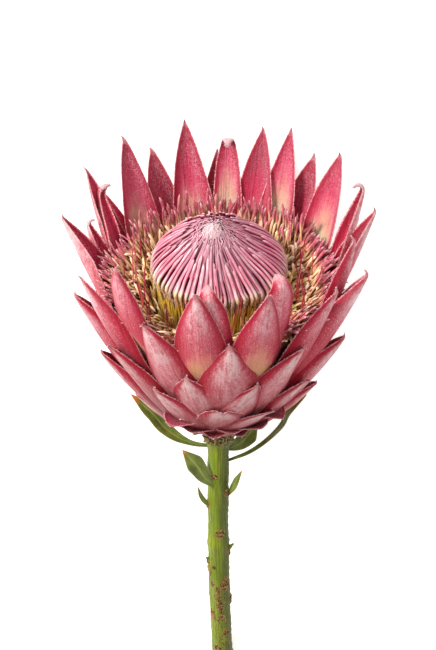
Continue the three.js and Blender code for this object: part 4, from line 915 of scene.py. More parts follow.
def rods(count, start, ends, lift, size, seed, n=34, spin=0.0, sides=8, kink=0.9, deep=0.0):
    """Unopened florets lying on the dome from arc position start to ends (share of the way from the crown)."""
    rng = np.random.default_rng(seed)
    az = 2 * math.pi * (np.arange(count) + spin + rng.uniform(-0.16, 0.16, count)) / count
    end = A_TOP - rng.uniform(*ends, count) * (A_TOP - A_RIM)
    x = np.linspace(0, 1, n)
    arc = start + (end - start)[:, None] * x
    li = lift + 0.22 * rng.standard_normal(count)[:, None] + 1.3 * x**9 + kink * np.exp(-(((arc - A_RIM) / 2.6) ** 2))
    r, h, nr, nh = on_dome(arc, li)
    drift = rng.uniform(-0.025, 0.025, count)[:, None] * smooth(arc, A_RIM, A_TOP) + 0.006 * np.sin(arc * 0.35 + rng.uniform(0, 6, count)[:, None])
    a = az[:, None] + drift
    P = forward(np.stack([r * np.sin(a), r * np.cos(a), h], -1))
    up = np.stack([nr * np.sin(a), nr * np.cos(a), nh], -1)
    R = np.minimum(size * (1 + 0.08 * rng.standard_normal(count)[:, None]), 0.92 * math.pi * r / count)
    R = R * (0.74 + 0.26 * smooth(arc, A_RIM - 5, A_RIM)) * (1 + 0.10 * smooth(x, 0.75, 0.93)) * (1 - 0.12 * np.exp(-(((arc - A_RIM + 2) / 3.0) ** 2)))
    R = R * np.sqrt(np.clip(1 - (np.clip((x - 0.955) / 0.045, 0, 1)) ** 2, 0.02, 1)) * (0.3 + 0.7 * smooth(x, 0, 0.05))
    v, f, at, per = tubes(P, R, up, sides)
    at["seed"] = np.repeat(rng.random(count), per)
    arcs = np.concatenate([np.repeat(arc, sides, axis=1), arc[:, :1], arc[:, -1:]], 1)
    ahead = np.repeat(np.cos(az), per)
    at["place"] = place_of(arcs.ravel()) + 0.04 * ahead
    # painted shade: deeper rods, and the side of the dome away from the key light, are painted darker
    at["deep"] = deep + 0.56 * np.repeat(smooth(np.sin(az) + 0.25 * np.cos(az), -0.3, 0.9), per)
    at["lines"] = np.stack([np.repeat(np.arange(count) * 7.3, per) + 2.2 * at["top"], arcs.ravel() * 0.42, np.full(len(v), seed * 1.7)], -1)
    return v, f, at


ring_a = rods(64, 1.0, (0.26, 0.60), 0.25, 0.88, 11, n=46, kink=0.25)
ring_b = rods(64, A_RIM - 6.0, (0.20, 0.46), -0.55, 0.78, 12, n=30, spin=0.5, kink=0, deep=0.4)
ring_c = rods(52, A_RIM + 14.0, (0.10, 0.27), -0.45, 0.62, 13, n=20, spin=0.2, kink=0, deep=0.1)
ring_d = rods(36, A_RIM + 23.0, (0.04, 0.16), -0.30, 0.58, 14, n=16, spin=0.7, kink=0)


def claws(count, seed, n=12):
    """The yellow feet of the florets, packed all round under the dome's rim."""
    rng = np.random.default_rng(seed)
    az = 2 * math.pi * (np.arange(count) + rng.uniform(-0.4, 0.4, count)) / count
    x = np.linspace(0, 1, n)
    lo, hi = rng.uniform(66, 72, count)[:, None], rng.uniform(93, 98.5, count)[:, None]
    h = lo + (hi - lo) * x
    r = np.interp(h, PROFILE[: I_RIM + 1, 1], PROFILE[: I_RIM + 1, 0]) + rng.uniform(-0.9, 0.9, count)[:, None] + 0.4 * np.sin(x * 5 + rng.uniform(0, 6, count)[:, None])
    a = az[:, None] + 0.02 * np.sin(x * 4 + rng.uniform(0, 6, count)[:, None])
    P = forward(np.stack([r * np.sin(a), r * np.cos(a), h], -1))
    up = np.stack([np.sin(az), np.cos(az), 0 * az], -1)
    R = rng.uniform(0.46, 0.66, count)[:, None] * np.sqrt(np.clip(1 - np.clip((x - 0.9) / 0.1, 0, 1) ** 2, 0.03, 1))
    v, f, at, per = tubes(P, R, up, 6)
    at["seed"] = np.repeat(rng.random(count), per)
    hs = np.concatenate([np.repeat(h, 6, axis=1), h[:, :1], h[:, -1:]], 1).ravel()
    at["place"] = 1.0 + (101.0 - hs) / 38.0
    at["t"] = at["t"] * 0.9
    at["deep"] = np.zeros(len(v))
    at["lines"] = np.stack([np.repeat(np.arange(count) * 7.3, per), hs * 0.22, 0 * hs + seed], -1)
    return v, f, at


def crown(count, seed):
    """The knot of short hairy ends at the top."""
    rng = np.random.default_rng(seed)
    k = np.arange(count) + 0.5
    s = np.sqrt(k / count) * 0.30
    az = k * 2.39996 + rng.uniform(-0.2, 0.2, count)
    arc = A_TOP - s * (A_TOP - A_RIM)
    r, h, nr, nh = on_dome(arc, 0.0)
    base = np.stack([r * np.sin(az), r * np.cos(az), h], -1)
    nrm = np.stack([nr * np.sin(az), nr * np.cos(az), nh], -1)
    inw = np.stack([-np.sin(az), -np.cos(az), 0.5 + 0 * az], -1)
    d = 0.55 * nrm + 0.75 * inw + 0.25 * rng.standard_normal((count, 3))
    d /= np.linalg.norm(d, axis=1, keepdims=True)
    x = np.linspace(0, 1, 8)
    ln = rng.uniform(1.8, 3.0, count)[:, None, None]
    P = forward((base - 0.6 * nrm)[:, None] + d[:, None] * x[None, :, None] * ln)
    R = rng.uniform(0.30, 0.46, count)[:, None] * np.sqrt(np.clip(1 - np.clip((x - 0.6) / 0.4, 0, 1) ** 2, 0.02, 1))
    v, f, at, per = tubes(P, R, nrm + 0.01, 6)
    at["seed"] = np.repeat(rng.random(count), per)
    at["place"] = np.repeat(s * 0.55, per)
    at["t"] = at["t"] * 0 + 0.97
    at["top"] = np.maximum(at["top"], -0.1)
    # painted shade: about half the ends on the far side and the right of the crown are painted dark
    back = np.clip(-np.cos(az) * s / 0.30 + 0.35 * np.sin(az) * s / 0.30, 0, 1)
    at["deep"] = np.repeat(back * (rng.random(count) < 0.5), per)
    at["lines"] = np.stack([np.repeat(np.arange(count) * 7.3, per), at["top"], 0 * at["top"]], -1)
    return v, f, at


v, f, at = joined([ring_a, ring_b, ring_c, ring_d, crown(260, 15), claws(120, 16)])
build("dome_florets", v, f, at, mat=M_ROD, slot="dome", nodes=["flower_dome"])

core = spline([(28.9, 60.4), (29.2, 76), (29.8, 85), (30.9, 92), (31.9, 97.0), (33.2, 100.2), (33.1, 102.3), (31.6, 105.3), (28.0, 109.1), (23.6, 112.6), (18.5, 115.8), (13.4, 118.7), (7.6, 121.4), (0.5, 123.2)], 60)
V, Q = revolve(core, 160)
wall = np.concatenate([smooth(V[:, 2], 103.0, 98.0), [1.0, 0.0]])
V = forward(V)
n0 = len(V)
V = np.concatenate([V, [[0, 0, 60.4], [0, 0, 123.2]]])
s = np.arange(160)
T = np.concatenate([np.stack([np.full(160, n0), (s + 1) % 160, s], -1), np.stack([np.full(160, n0 + 1), 59 * 160 + s, 59 * 160 + (s + 1) % 160], -1)])
build("dome_core", V, outward(V, [Q, T]), {"wall": wall}, mat=M_CORE_SHADE, slot="dome")

# the white fuzz at the crown, a little towards the front
rng = np.random.default_rng(17)
m = 1300
s, az = rng.random(m) ** 0.8 * 4.8, rng.uniform(0, 2 * math.pi, m)
q = np.stack([s * np.sin(az) - 1.2, s * np.cos(az) + 2.2, 0 * s], -1)
rq, aq = np.hypot(q[:, 0], q[:, 1]), np.arctan2(q[:, 0], q[:, 1])
q[:, 2] = np.interp(-rq, -PROFILE[I_RIM:, 0], PROFILE[I_RIM:, 1]) + 0.25
d = np.stack([0.5 * np.sin(aq), 0.5 * np.cos(aq), 0.9 + 0 * aq], -1) + 0.25 * rng.standard_normal((m, 3))
v, f, at = hairs(forward(q), d, rng.uniform(0.9, 2.0, m), rng.uniform(0.13, 0.22, m), 18)
build("crown_down", v, outward(v, f), at, mat=M_HAIR, slot="dome")

# pale hairs that feather out the lower ends of the rods, at the rim
rng = np.random.default_rng(11)
az = 2 * math.pi * (np.arange(64) + rng.uniform(-0.16, 0.16, 64)) / 64
az = np.repeat(az, 30) + rng.uniform(-0.9, 0.9, 64 * 30) / 34.7
m = len(az)
r, h, nr, nh = on_dome(A_RIM + rng.uniform(-6.0, 5.0, m), rng.uniform(0.2, 0.95, m))
q = np.stack([r * np.sin(az), r * np.cos(az), h], -1)
away, down = 0.30 * nr + 0.95 * nh, 0.30 * nh - 0.95 * nr
d = np.stack([away * np.sin(az), away * np.cos(az), down], -1)
d += 0.06 * rng.standard_normal((m, 3))
v, f, at = hairs(forward(q), d, rng.uniform(1.4, 3.2, m), rng.uniform(0.09, 0.15, m), 19)
build("rim_down", v, outward(v, f), at, mat=M_HAIR, slot="dome")

# ---------------------------------------------------------------- ring of opened florets
bed = spline([(30.2, 60.4), (31.4, 70), (32.4, 76), (36, 80), (42, 84.5), (48.5, 89.5), (54, 93), (56.8, 92), (55.4, 87), (48.5, 76), (41, 65.5), (36.4, 59.8)], 60)


def bed_sag(i, a):
    """The bed is uneven, and lower in front, where the florets have fallen outwards."""
    ahead = smooth(np.cos(a), 0.15, 0.9)
    out = smooth(i, 14, 30) * smooth(i, 59, 44)
    return 0.5 * np.sin(17 * a + i) - 1.5 * ahead * out, 0.7 * np.sin(29 * a + 2 * i) * smooth(i, 0, 12) - 1.5 * ahead * out


V, Q = revolve(bed, 144, bed_sag, close=False)
V = forward(V, 0.12, 0.12)
s = np.arange(144)
L0, L1 = (len(bed) - 1) * 144, 0
Qc = np.stack([L0 + s, s, (s + 1) % 144, L0 + (s + 1) % 144], -1)
build("floret_bed", V, outward(V, [Q, Qc]), mat=M_BED_SHADE, slot="florets", nodes=["floret_ring"])


def straps(count, rb, hb, alpha, curl, length, width, splay, mauve, seed, arc=(-180, 180), side=0.0, pale=0.0, n=11, sides=6, fat=1.12, jit=1.3):
    """One whorl of opened florets: curled straps leaning outwards from the ring, over an arc of it."""
    rng = np.random.default_rng(seed)
    az = np.radians(arc[0] + (arc[1] - arc[0]) * (np.arange(count) + rng.uniform(0.1, 0.9, count)) / count)
    ahead = smooth(np.cos(az), 0.2, 0.95)
    al = np.radians(alpha + 8 * rng.standard_normal(count))
    cu = np.radians(curl * (0.3 + 1.4 * rng.random(count)))
    ln = length * (0.78 + 0.44 * rng.random(count))
    tw0 = np.radians(np.clip(splay * rng.standard_normal(count), -60, 60))
    tb = np.radians(side * np.clip(rng.standard_normal(count), -2, 2))
    x = np.linspace(0, 1, n)
    ang = al[:, None] + cu[:, None] * x**2
    tw = tw0[:, None] * (0.4 + 0.6 * x) + tb[:, None] * smooth(x, 0.45, 0.9) + 0.12 * np.sin(x * 6 + rng.uniform(0, 6, count)[:, None])
    er = np.stack([np.sin(az), np.cos(az), 0 * az], -1)[:, None]
    et = np.stack([np.cos(az), -np.sin(az), 0 * az], -1)[:, None]
    d = (np.sin(ang) * np.cos(tw))[..., None] * er + np.sin(tw)[..., None] * et
    d[..., 2] = np.cos(ang) * np.cos(tw)
    step = (ln / (n - 1))[:, None, None]
    r0 = rb + rng.uniform(-jit, jit, count)
    h0 = hb + rng.uniform(-jit, jit, count) - 1.5 * ahead * smooth(r0, 38, 46)
    P = er * r0[:, None, None] + np.concatenate([np.zeros((count, 1, 3)), np.cumsum((d[:, 1:] + d[:, :-1]) / 2 * step, 1)], 1)
    P[..., 2] += h0[:, None]
    P = forward(P, 0.12, 0.12)
    up = -np.cos(ang)[..., None] * er + 0 * d
    up[..., 2] = np.sin(ang)
    W = width * (0.8 + 0.4 * rng.random(count))[:, None]
    R = W * (0.72 + (fat - 0.72) * smooth(x, 0.4, 0.8)) * np.sqrt(np.clip(1 - np.clip((x - 0.88) / 0.12, 0, 1) ** 2, 0.03, 1))
    v, f, at, per = tubes(P, R, up, sides, flat=0.72)
    at["t"] = at["t"] * np.repeat(1 - pale * rng.random(count), per)
    at["seed"] = np.repeat(rng.random(count), per)
    at["row"] = np.repeat(np.clip(mauve + 0.12 * rng.standard_normal(count), 0, 1), per)
    return v, f, at


INNER = [
    # count, rb, hb, lean, curl, length, half width, splay, colour row, then arc, sideways hook and paleness of the ends
    (104, 33.6, 74.0, 3, 8, 18, 0.54, 4, 0.0, (-180, 180), 8, 0.3),
    (104, 35.6, 77.0, 8, 40, 14.5, 0.66, 7, 0.0, (-180, 180), 40, 0.1),
    (104, 37.8, 79.5, 18, 60, 13.5, 0.72, 14, 0.08, (-180, 180), 60, 0),
    (104, 40.2, 81.5, 28, 66, 13, 0.76, 22, 0.3, (-180, 180), 75, 0),
    (104, 42.6, 83.5, 40, 56, 13, 0.76, 28, 0.42, (-180, 180), 75, 0),
    (70, 38.5, 84.0, 52, 30, 11, 0.74, 42, 0.4, (-150, 150), 60, 0),
    (90, 41.5, 85.5, 64, 24, 11, 0.76, 46, 0.42, (-130, 130), 60, 0),
    (84, 45.0, 87.5, 74, 14, 11, 0.74, 50, 0.46, (-120, 120), 60, 0),
]
OUTER = [
    (96, 45.2, 85.5, 34, 40, 14.5, 0.72, 18, 0.5, (-180, 180), 45, 0),
    (58, 47.5, 87.5, 42, 14, 15.5, 0.84, 14, 0.9, (35, 140), 15, 0.2),
    (56, 50.0, 89.5, 48, 8, 15.5, 0.88, 14, 1.0, (35, 140), 12, 0.1),
    (48, 52.2, 91.0, 50, 4, 15, 0.86, 12, 1.0, (35, 140), 10, 0.0),
    (62, 47.0, 87.5, 42, 14, 14, 0.62, 16, 0.85, (-140, -35), 20, 0.3),
    (60, 49.5, 89.5, 46, 10, 14, 0.60, 16, 1.0, (-140, -35), 15, 0.2),
    (48, 52.0, 91.0, 44, 6, 14, 0.58, 14, 1.0, (-140, -35), 12, 0.1),
    (48, 46.5, 86.0, 16, 14, 14, 0.74, 9, 0.45, (132, 228), 20, 0.2),
    (54, 49.0, 88.0, 16, 8, 16, 0.72, 9, 0.85, (130, 230), 12, 0.3),
    (54, 51.5, 89.5, 12, 6, 17, 0.70, 8, 1.0, (128, 232), 10, 0.25),
    (50, 53.6, 91.0, 8, 4, 17.5, 0.68, 7, 1.0, (126, 234), 8, 0.2),
    (46, 47.5, 86.0, 66, 14, 11, 0.70, 44, 0.7, (-62, 62), 40, 0.2),
    (76, 49.8, 88.0, 66, 12, 8.0, 0.70, 40, 0.5, (-80, 80), 50, 0.1),
    (66, 52.6, 90.0, 60, 10, 6.5, 0.66, 36, 0.8, (-85, 85), 40, 0.2),
]
v, f, at = joined([straps(*w[:9], seed=30 + i, arc=w[9], side=w[10], pale=w[11]) for i, w in enumerate(INNER)])
build("inner_straps", v, f, at, mat=M_STRAP, slot="florets")
v, f, at = joined([straps(*w[:9], seed=50 + i, arc=w[9], side=w[10], pale=w[11]) for i, w in enumerate(OUTER)])
build("outer_straps", v, f, at, mat=M_STRAP, slot="florets")


def styles(specs, seed, n=20):
    """Thin red styles that stand free: azimuth, foot radius, foot height, length, lean outwards (degrees)."""
    rng = np.random.default_rng(seed)
    sp = np.array(specs, float)
    az, rb, hb, ln, lean = np.radians(sp[:, 0]), sp[:, 1], sp[:, 2], sp[:, 3], np.radians(sp[:, 4])
    c = len(sp)
    x = np.linspace(0, 1, n)
    bend = 0.45 * rng.standard_normal(c)[:, None] * np.sin(x * math.pi) * ln[:, None] * 0.12
    wob = 0.12 * np.sin(x * 10 + rng.uniform(0, 6, c)[:, None])
    er = np.stack([np.sin(az), np.cos(az), 0 * az], -1)
    et = np.stack([np.cos(az), -np.sin(az), 0 * az], -1)
    rr = rb[:, None] + np.sin(lean)[:, None] * ln[:, None] * x
    hh = hb[:, None] + np.cos(lean)[:, None] * ln[:, None] * x
    side = (bend + wob) + rng.uniform(-0.12, 0.12, c)[:, None] * ln[:, None] * x
    P = er[:, None] * rr[..., None] + et[:, None] * side[..., None]
    P[..., 2] = hh
    R = np.repeat((0.37 - 0.10 * x + 0.06 * smooth(x, 0.8, 0.95))[None], c, 0) * np.sqrt(np.clip(1 - np.clip((x - 0.95) / 0.05, 0, 1) ** 2, 0.05, 1))
    v, f, at, per = tubes(P, R, np.repeat(er[:, None] * -1.0, n, 1), 6)
    at["seed"] = np.repeat(rng.random(c), per)
    return v, f, at


rng = np.random.default_rng(77)
STYLES = []
for a0, a1, cnt, r0, r1 in [(52, 118, 16, 41, 52), (-122, -58, 10, 41, 52), (-50, -18, 5, 40, 50), (-14, 40, 8, 38, 50), (125, 235, 16, 44, 54)]:
    for a in np.linspace(a0, a1, cnt):
        STYLES.append((a + rng.uniform(-3, 3), rng.uniform(r0, r1), rng.uniform(84, 90), rng.uniform(15, 24) * (0.72 if a0 == 125 else 1.0), rng.uniform(-9, 13)))
v, f, at = styles(STYLES, 78)
build("red_styles", v, f, at, mat=M_STYLE, slot="florets")

# ---------------------------------------------------------------- stem
STEM = np.array([(4.1, 0, 6.6), (1, 0, 8.2), (-4, -0.1, 8), (-8, -0.3, 6.2), (-16, -0.5, 5.6), (-40, -0.5, 5.5), (-65, -0.4, 5.3), (-72, -0.3, 5.9), (-80, -0.1, 5.4), (-100, 0.3, 5.6), (-120, 1, 5.4), (-140, 1.8, 5.4), (-157, 2.6, 5.5), (-160, 2.6, 5.3)], float)
# leaf scars and bumps: height, azimuth (0 faces up), half across mm, half along mm, how far it stands out, brown, pink
SCARS = [
    (-25.5, -23, 2.0, 1.6, 0.5, 1.0, 0.0), (-37.5, 62, 2.2, 2.2, 0.8, 1.0, 0.2), (-46, -78, 2.0, 2.6, 0.9, 0.9, 0.3),
    (-63, 12, 2.7, 2.2, 0.7, 1.0, 0.25), (-66, 10, 1.8, 1.6, 0.3, 0.2, 0.9), (-78, 84, 2.2, 2.6, 1.0, 0.7, 0.0), (-84.5, -86, 1.8, 1.6, 1.2, 0.9, 0.0),
    (-89, -72, 1.9, 2.2, 0.8, 0.3, 1.0), (-86, -32, 1.3, 1.3, 0.4, 0.9, 0.0), (-97.5, 36, 2.9, 4.0, 0.8, 1.0, 0.1), (-101, -8, 1.3, 2.4, 0.2, 0.8, 0.0),
    (-106, -4, 1.1, 4.2, 0.2, 0.9, 0.1), (-113, 2, 1.2, 4.4, 0.2, 0.9, 0.1), (-92, -52, 0.9, 2.4, 0.1, 0.8, 0.0), (-98, -40, 1.6, 2.0, 0.1, 0.75, 0.0), (-110.5, 84, 1.9, 3.4, 0.9, 0.9, 0.2),
    (-120, -52, 2.1, 2.8, 0.8, 0.5, 1.0), (-117, -54, 1.9, 1.0, 0.6, 1.0, 0.0), (-120, 6, 1.8, 1.4, 0.3, 0.9, 0.0), (-131, 30, 2.0, 2.0, 0.6, 1.0, 0.2), (-142, -30, 2.2, 2.0, 0.6, 1.0, 0.1),
    (-30, 165, 2.0, 1.8, 0.6, 1.0, 0.1), (-52, -150, 2.2, 2.0, 0.7, 1.0, 0.2), (-75, 160, 2.0, 2.2, 0.6, 1.0, 0.1), (-94, -140, 2.2, 2.4, 0.7, 0.9, 0.4), (-112, 150, 2.0, 2.2, 0.6, 1.0, 0.2), (-134, -160, 2.2, 2.4, 0.7, 1.0, 0.2), (-150, 110, 2.0, 2.0, 0.6, 1.0, 0.1),
]


def stem_mesh():
    ns, nh = 72, 420
    line = spline(STEM[:-1][:, [1, 2, 0]], nh)
    x0, R, h = line[:, 0], line[:, 1] * (1 + 0.07 * smooth(line[:, 2], -8, -20)), line[:, 2]
    a = np.arange(ns) * 2 * math.pi / ns
    H, A = h[:, None] + 0 * a, a[None, :] + 0 * h[:, None]
    rr = R[:, None] * (1 + 0.028 * np.cos(3 * A + 0.9 + H * 0.006) + 0.02 * np.cos(5 * A - H * 0.01))
    rr = rr + 0.12 * np.sin(H * 0.31 + 2 * A) * smooth(H, -150, -140) + 0.06 * np.sin(H * 1.3 + 7 * A) + 0.05 * np.sin(19 * A + 0.15 * H)
    scar, pink = np.zeros_like(H), np.zeros_like(H)
    for sh, sa, ax, al, out, br, pk in SCARS:
        da = (A - math.radians(sa) + math.pi) % (2 * math.pi) - math.pi
        d = np.sqrt((da * 5.5 / ax) ** 2 + ((H - sh) / al) ** 2)
        body = 1 - smooth(d, 0.55, 1.25)
        rr = rr + out * body - 0.55 * out * (1 - smooth(d, 0.1, 0.7))
        scar = np.maximum(scar, br * (1 - smooth(d, 0.8, 1.35)))
        pink = np.maximum(pink, pk * (1 - smooth(d, 0.5, 1.0)))
    collar = smooth(H, -7.5, -1.5)
    rng = np.random.default_rng(5)
    rough = sum(rng.uniform(0.06, 0.14) * np.sin(A * rng.integers(5, 26) + H * rng.uniform(0.6, 2.6) + rng.uniform(0, 6)) for _ in range(9))
    crusty = sum(np.abs(np.sin(A * m1 + H * m2 + m3)) for m1, m2, m3 in ((9, 2.1, 0.4), (13, -1.7, 2.0), (21, 2.9, 4.0))) / 3
    rr = rr + rough * (0.25 + 2.2 * collar) + (0.9 * crusty - 0.8) * collar
    P = np.stack([x0[:, None] + rr * np.sin(A), rr * np.cos(A), H], -1)
    # the cut end: a slightly domed disc with a soft edge
    last = P[-1]
    ctr = np.array([x0[-1], 0, 0])
    rings, cuts = [P.reshape(-1, 3)], [np.zeros(nh * ns)]
    for q, dz in [(0.985, -2.4), (0.95, -2.85), (0.88, -2.98), (0.7, -3.0), (0.5, -2.95), (0.3, -2.9), (0.12, -2.9)]:
        ring = ctr + (last - ctr) * q
        ring[:, 2] = last[:, 2] + dz + 0.05 * np.sin(4 * a)
        rings.append(ring)
        cuts.append(np.full(ns, 1.0 - q + 0.03))
    V = np.concatenate(rings + [np.array([[x0[-1], 0, -159.9], [0, 0, 4.1]])])
    total = nh + 7
    i, s = np.meshgrid(np.arange(total - 1), np.arange(ns), indexing="ij")
    s2 = (s + 1) % ns
    Q = np.stack([i * ns + s, (i + 1) * ns + s, (i + 1) * ns + s2, i * ns + s2], -1).reshape(-1, 4)
    s = np.arange(ns)
    T = np.concatenate([np.stack([np.full(ns, total * ns), (total - 1) * ns + (s + 1) % ns, (total - 1) * ns + s], -1), np.stack([np.full(ns, total * ns + 1), s, (s + 1) % ns], -1)])
    pad = np.zeros(7 * ns + 2)
    flat = np.stack([(A * 5.5).ravel(), H.ravel(), 0 * H.ravel()], -1)
    flat = np.concatenate([flat, np.tile([[0.0, -160.0, 0.0]], (7 * ns + 2, 1))])
    at = {
        "scar": np.concatenate([scar.ravel(), pad]),
        "pink": np.concatenate([pink.ravel(), pad]),
        "scurf": np.concatenate([collar.ravel(), pad]),
        "crusty": np.concatenate([(smooth(H, -96, -108) * smooth(np.cos(A - 0.1 - 0.25 * np.sin(H * 0.12)), 0.55, 0.9) * smooth(H, -146, -138)).ravel(), pad]),
        # away: the side turned from the light, for the painted shade
        "away": np.concatenate([smooth(np.sin(A) + 0.1 * np.sin(H * 0.11), -0.1, 0.8).ravel(), pad]),
        "cut": np.concatenate(cuts + [[1.0, 0.0]]),
        "flat": flat,
    }
    return V, outward(V, [Q, T]), at


v, f, at = stem_mesh()
build("stem_bark", v, f, at, mat=M_STEM, slot="stem", nodes=["stem"])


def twigs():
    """Short green stubs of lost leaves: foot, end, radius."""
    out = []
    for k, (a, b, r) in enumerate([((-5.5, 0.5, -0.6), (-14.2, 0.2, -1.3), 0.85), ((5.5, -0.5, -4.4), (12.4, -1.0, -1.4), 0.8), ((-4.8, 1.0, -6.4), (-8.6, 1.4, -5.4), 0.7), ((4.4, 1.0, -78.4), (8.2, 1.6, -72.2), 0.95), ((-4.6, 0.6, -85.0), (-7.4, 1.0, -82.2), 0.8)]):
        a, b = np.array(a), np.array(b)
        x = np.linspace(0, 1, 14)[:, None]
        P = a + (b - a) * x + np.array([0, 0, 0.7]) * np.sin(x * math.pi)
        R = r * (1.25 - 0.5 * x[:, 0] + 0.12 * np.sin(9 * x[:, 0] + k)) * np.sqrt(np.clip(1 - np.clip((x[:, 0] - 0.93) / 0.07, 0, 1) ** 2, 0.15, 1))
        v, f, at, per = tubes(P[None], R[None], np.array([[0.0, 1.0, 0.0]]), 12)
        t = at["t"]
        end = smooth(t, 0.93, 0.99)
        # the stubs carry a little of the stem's painted shade all over
        out.append((v, f, {"scar": 0.9 * end + 0.5 * smooth(t, 0.12, 0.0), "pink": 0 * t, "scurf": 0.25 + 0 * t, "away": 0.3 + 0 * t, "crusty": 0 * t, "cut": 0 * t, "flat": np.stack([at["top"] * 2, t * 9, 0 * t + k * 3.0], -1)}))
    return joined(out)


v, f, at = twigs()
build("stem_stubs", v, outward(v, f), at, mat=M_STEM, slot="stem")

# ---------------------------------------------------------------- leaves
LEAVES = [
    ("leaf_left_long", [(-5.4, -2, -10.0), (-14.3, -2, -8.6), (-22.8, -3, -5.2), (-30.2, -4, 0.6), (-36.2, -5, 8.4), (-47.6, -6, 20.2)], [0.9, 1.5, 3.4, 4.4, 3.6, 0.3], (0.35, 0.75, 0.55), 0.35, 1.0),
    ("leaf_right_long", [(5.2, 0, -18.3), (16.4, 0, -13.2), (26, -1, -6.4), (34.8, -2, 3.1), (38.6, -3, 11.6), (47.4, -4, 21.2)], [0.9, 1.2, 1.6, 2.4, 3.2, 0.3], (-0.75, 0.35, 0.55), 0.35, 0.8),
    ("leaf_left_small", [(-2.6, 5.2, -31.6), (-7.6, 6.6, -25.4), (-12.4, 7, -17.3), (-19.8, 6, -7.9)], [0.8, 3.9, 5.4, 0.3], (0.25, 0.85, 0.45), 0.2, 1.0),
    ("leaf_right_small", [(4.2, -3.4, -13.2), (10.3, -6.2, -12), (15.6, -8, -7.9), (20.9, -9.2, 0.4)], [0.9, 3.8, 5.4, 0.4], (-0.2, 0.85, 0.45), 0.25, 0.0),
    ("leaf_scale_right", [(5.0, 2.2, -39.2), (8, 2.7, -34), (10, 2.7, -29), (12.5, 2, -23.8)], [0.9, 2.0, 1.8, 0.3], (-0.5, 0.75, 0.4), 0.3, 1.0),
    ("leaf_scale_left", [(-5.2, 2.2, -46.6), (-8.6, 2.7, -42.4), (-10.4, 2.7, -38.7), (-11.6, 2, -34.4)], [0.8, 1.5, 1.2, 0.3], (0.5, 0.75, 0.4), 0.3, 0.9),
]


def leaf_mesh(pts, widths, face, fold, warm, seed, nu=40, nv=12, thick=0.75):
    P = spline(pts, nu + 1)
    u = np.linspace(0, 1, nu + 1)
    w = np.interp(u, np.linspace(0, 1, len(widths)), widths)
    k = np.array([0.25, 0.5, 0.25])
    for _ in range(3):
        w[1:-1] = np.convolve(w, k, "same")[1:-1]
    tan = np.gradient(P, axis=0)
    tan /= np.linalg.norm(tan, axis=1, keepdims=True)
    look = np.array(face, float)
    side = np.cross(tan, look)
    side /= np.linalg.norm(side, axis=1, keepdims=True)
    up = np.cross(side, tan)
    v = np.sin(np.linspace(-1, 1, nv + 1) * math.pi / 2)
    V = v[None, :, None]
    rng = np.random.default_rng(seed)
    wave = 0.12 * np.sin(9 * u + rng.uniform(0, 6))[:, None] * v[None, :]
    lift = np.abs(v)[None, :] ** 1.15 * fold + wave
    G = P[:, None] + side[:, None] * V * w[:, None, None] + up[:, None] * (lift * w[:, None])[..., None]
    du, dv = np.gradient(G, axis=0), np.gradient(G, axis=1)
    n = np.cross(du, dv)
    n /= np.linalg.norm(n, axis=-1, keepdims=True) + 1e-12
    th = thick * (0.35 + 0.65 * np.sqrt(np.clip(1 - v**4, 0, 1)))[None, :] * (1 + 0.8 * np.exp(-((v / 0.15) ** 2))[None, :]) * np.clip(w[:, None] / 1.2, 0.5, 1)
    A, B = G + n * th[..., None] / 2, G - n * th[..., None] / 2
    nn, mm = nu + 1, nv + 1
    idx = np.arange(nn * mm).reshape(nn, mm)
    a, b, c, e = idx[:-1, :-1], idx[1:, :-1], idx[1:, 1:], idx[:-1, 1:]
    o = nn * mm
    loop = np.concatenate([idx[:, 0], idx[-1, 1:], idx[-2::-1, -1], idx[0, -2:0:-1]])
    l2 = np.roll(loop, -1)
    faces = [np.stack([a, b, c, e], -1).reshape(-1, 4), np.stack([a, e, c, b], -1).reshape(-1, 4) + o, np.stack([loop, loop + o, l2 + o, l2], -1)]
    verts = np.concatenate([A.reshape(-1, 3), B.reshape(-1, 3)])
    s = np.concatenate([[0], np.cumsum(np.linalg.norm(np.diff(P, axis=0), axis=1))])
    fl = np.stack([(v[None, :] * w[:, None]).ravel(), np.repeat(s, mm), np.full(o, seed * 7.0)], -1)
    at = {"u": np.tile(np.repeat(u, mm), 2), "v": np.tile(np.tile(v, nn), 2), "flat": np.concatenate([fl, fl + 30]), "warm": np.full(2 * o, warm)}
    return verts, outward(verts, faces), at


for i, (name, pts, widths, face, fold, warm) in enumerate(LEAVES):
    build("green_" + name, *leaf_mesh(pts, widths, face, fold, warm, 200 + i), mat=M_LEAF, slot="leaf", nodes=[name])

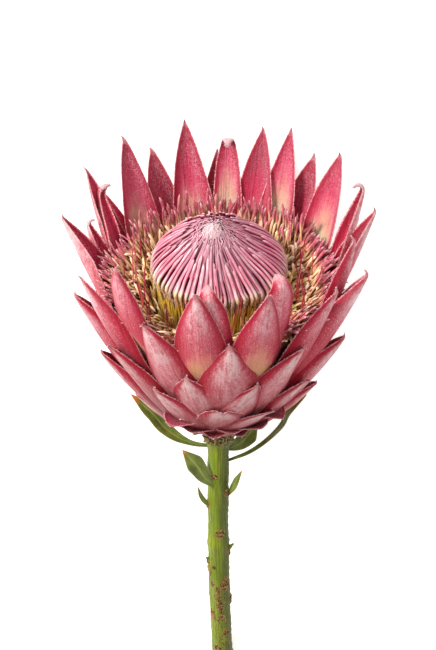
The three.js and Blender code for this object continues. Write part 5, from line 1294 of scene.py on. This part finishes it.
# ---------------------------------------------------------------- floor, light, camera
floor_mesh = bpy.data.meshes.new("floor")
S = 3.0
floor_mesh.from_pydata([(-S, -S, 0), (S, -S, 0), (S, S, 0), (-S, S, 0)], [], [(0, 1, 2, 3)])
floor = bpy.data.objects.new("floor", floor_mesh)
bpy.context.scene.collection.objects.link(floor)
F = Look("pale_floor")
F.done(F.mix(F.noise(F.object_mm(), 0.01, 2.0), lin(250, 250, 249), lin(252, 252, 251)), 0.9, spec=0.0)
F.bsdf.inputs["Emission Color"].default_value = (1, 1, 1, 1)
F.bsdf.inputs["Emission Strength"].default_value = 0.42
floor_mesh.materials.append(F.mat)
floor.location.z = -0.0002

world = bpy.data.worlds.new("studio")
bpy.context.scene.world = world
world.use_nodes = True
bg = world.node_tree.nodes["Background"]
bg.inputs["Color"].default_value = (1.0, 0.99, 0.98, 1)
bg.inputs["Strength"].default_value = 0.74

MID = Vector((0.0, -0.03, 0.06))


def area(name, at, size, power, color=(1, 1, 1)):
    light = bpy.data.lights.new(name, "AREA")
    light.shape, light.size, light.energy, light.color = "DISK", size, power, color
    ob = bpy.data.objects.new(name, light)
    bpy.context.scene.collection.objects.link(ob)
    ob.location = MID + Vector(at)
    ob.rotation_mode = "QUATERNION"
    ob.rotation_quaternion = (-Vector(at)).to_track_quat("-Z", "Y")
    return ob


area("key", (1.0, -0.80, 0.88), 0.45, 29.0, (1.0, 0.985, 0.965))
area("fill", (-0.5, -0.4, 1.3), 1.0, 2.5, (0.97, 0.98, 1.0))

# the photograph's view: 29 degrees above the head's own horizon, square on to the stem
E = math.radians(29.0)
DIST, PX = 1.2, 0.53e-3
K = DIST / PX
theta = E - LIE_TILT
HC = 107 * 1200 / (K * math.cos(E) - 107 * math.sin(E))
target = Vector(lay(np.array([-0.53, 0.0, HC])))
right = Vector((-1, 0, 0))
up = Vector((0, -math.cos(theta), -math.sin(theta)))
back = Vector((0, -math.sin(theta), math.cos(theta)))
cam_data = bpy.data.cameras.new("camera")
cam_data.sensor_width = 36.0
cam_data.lens = K * 36.0 / 650.0
cam_data.clip_start, cam_data.clip_end = 0.05, 20.0
cam = bpy.data.objects.new("camera", cam_data)
bpy.context.scene.collection.objects.link(cam)
place = target + back * DIST
cam.matrix_world = Matrix(((right.x, up.x, back.x, place.x), (right.y, up.y, back.y, place.y), (right.z, up.z, back.z, place.z), (0, 0, 0, 1)))
bpy.context.scene.camera = cam
bpy.context.scene.view_settings.view_transform = "Standard"
bpy.context.scene.view_settings.look = "None"

bpy.context.view_layer.update()
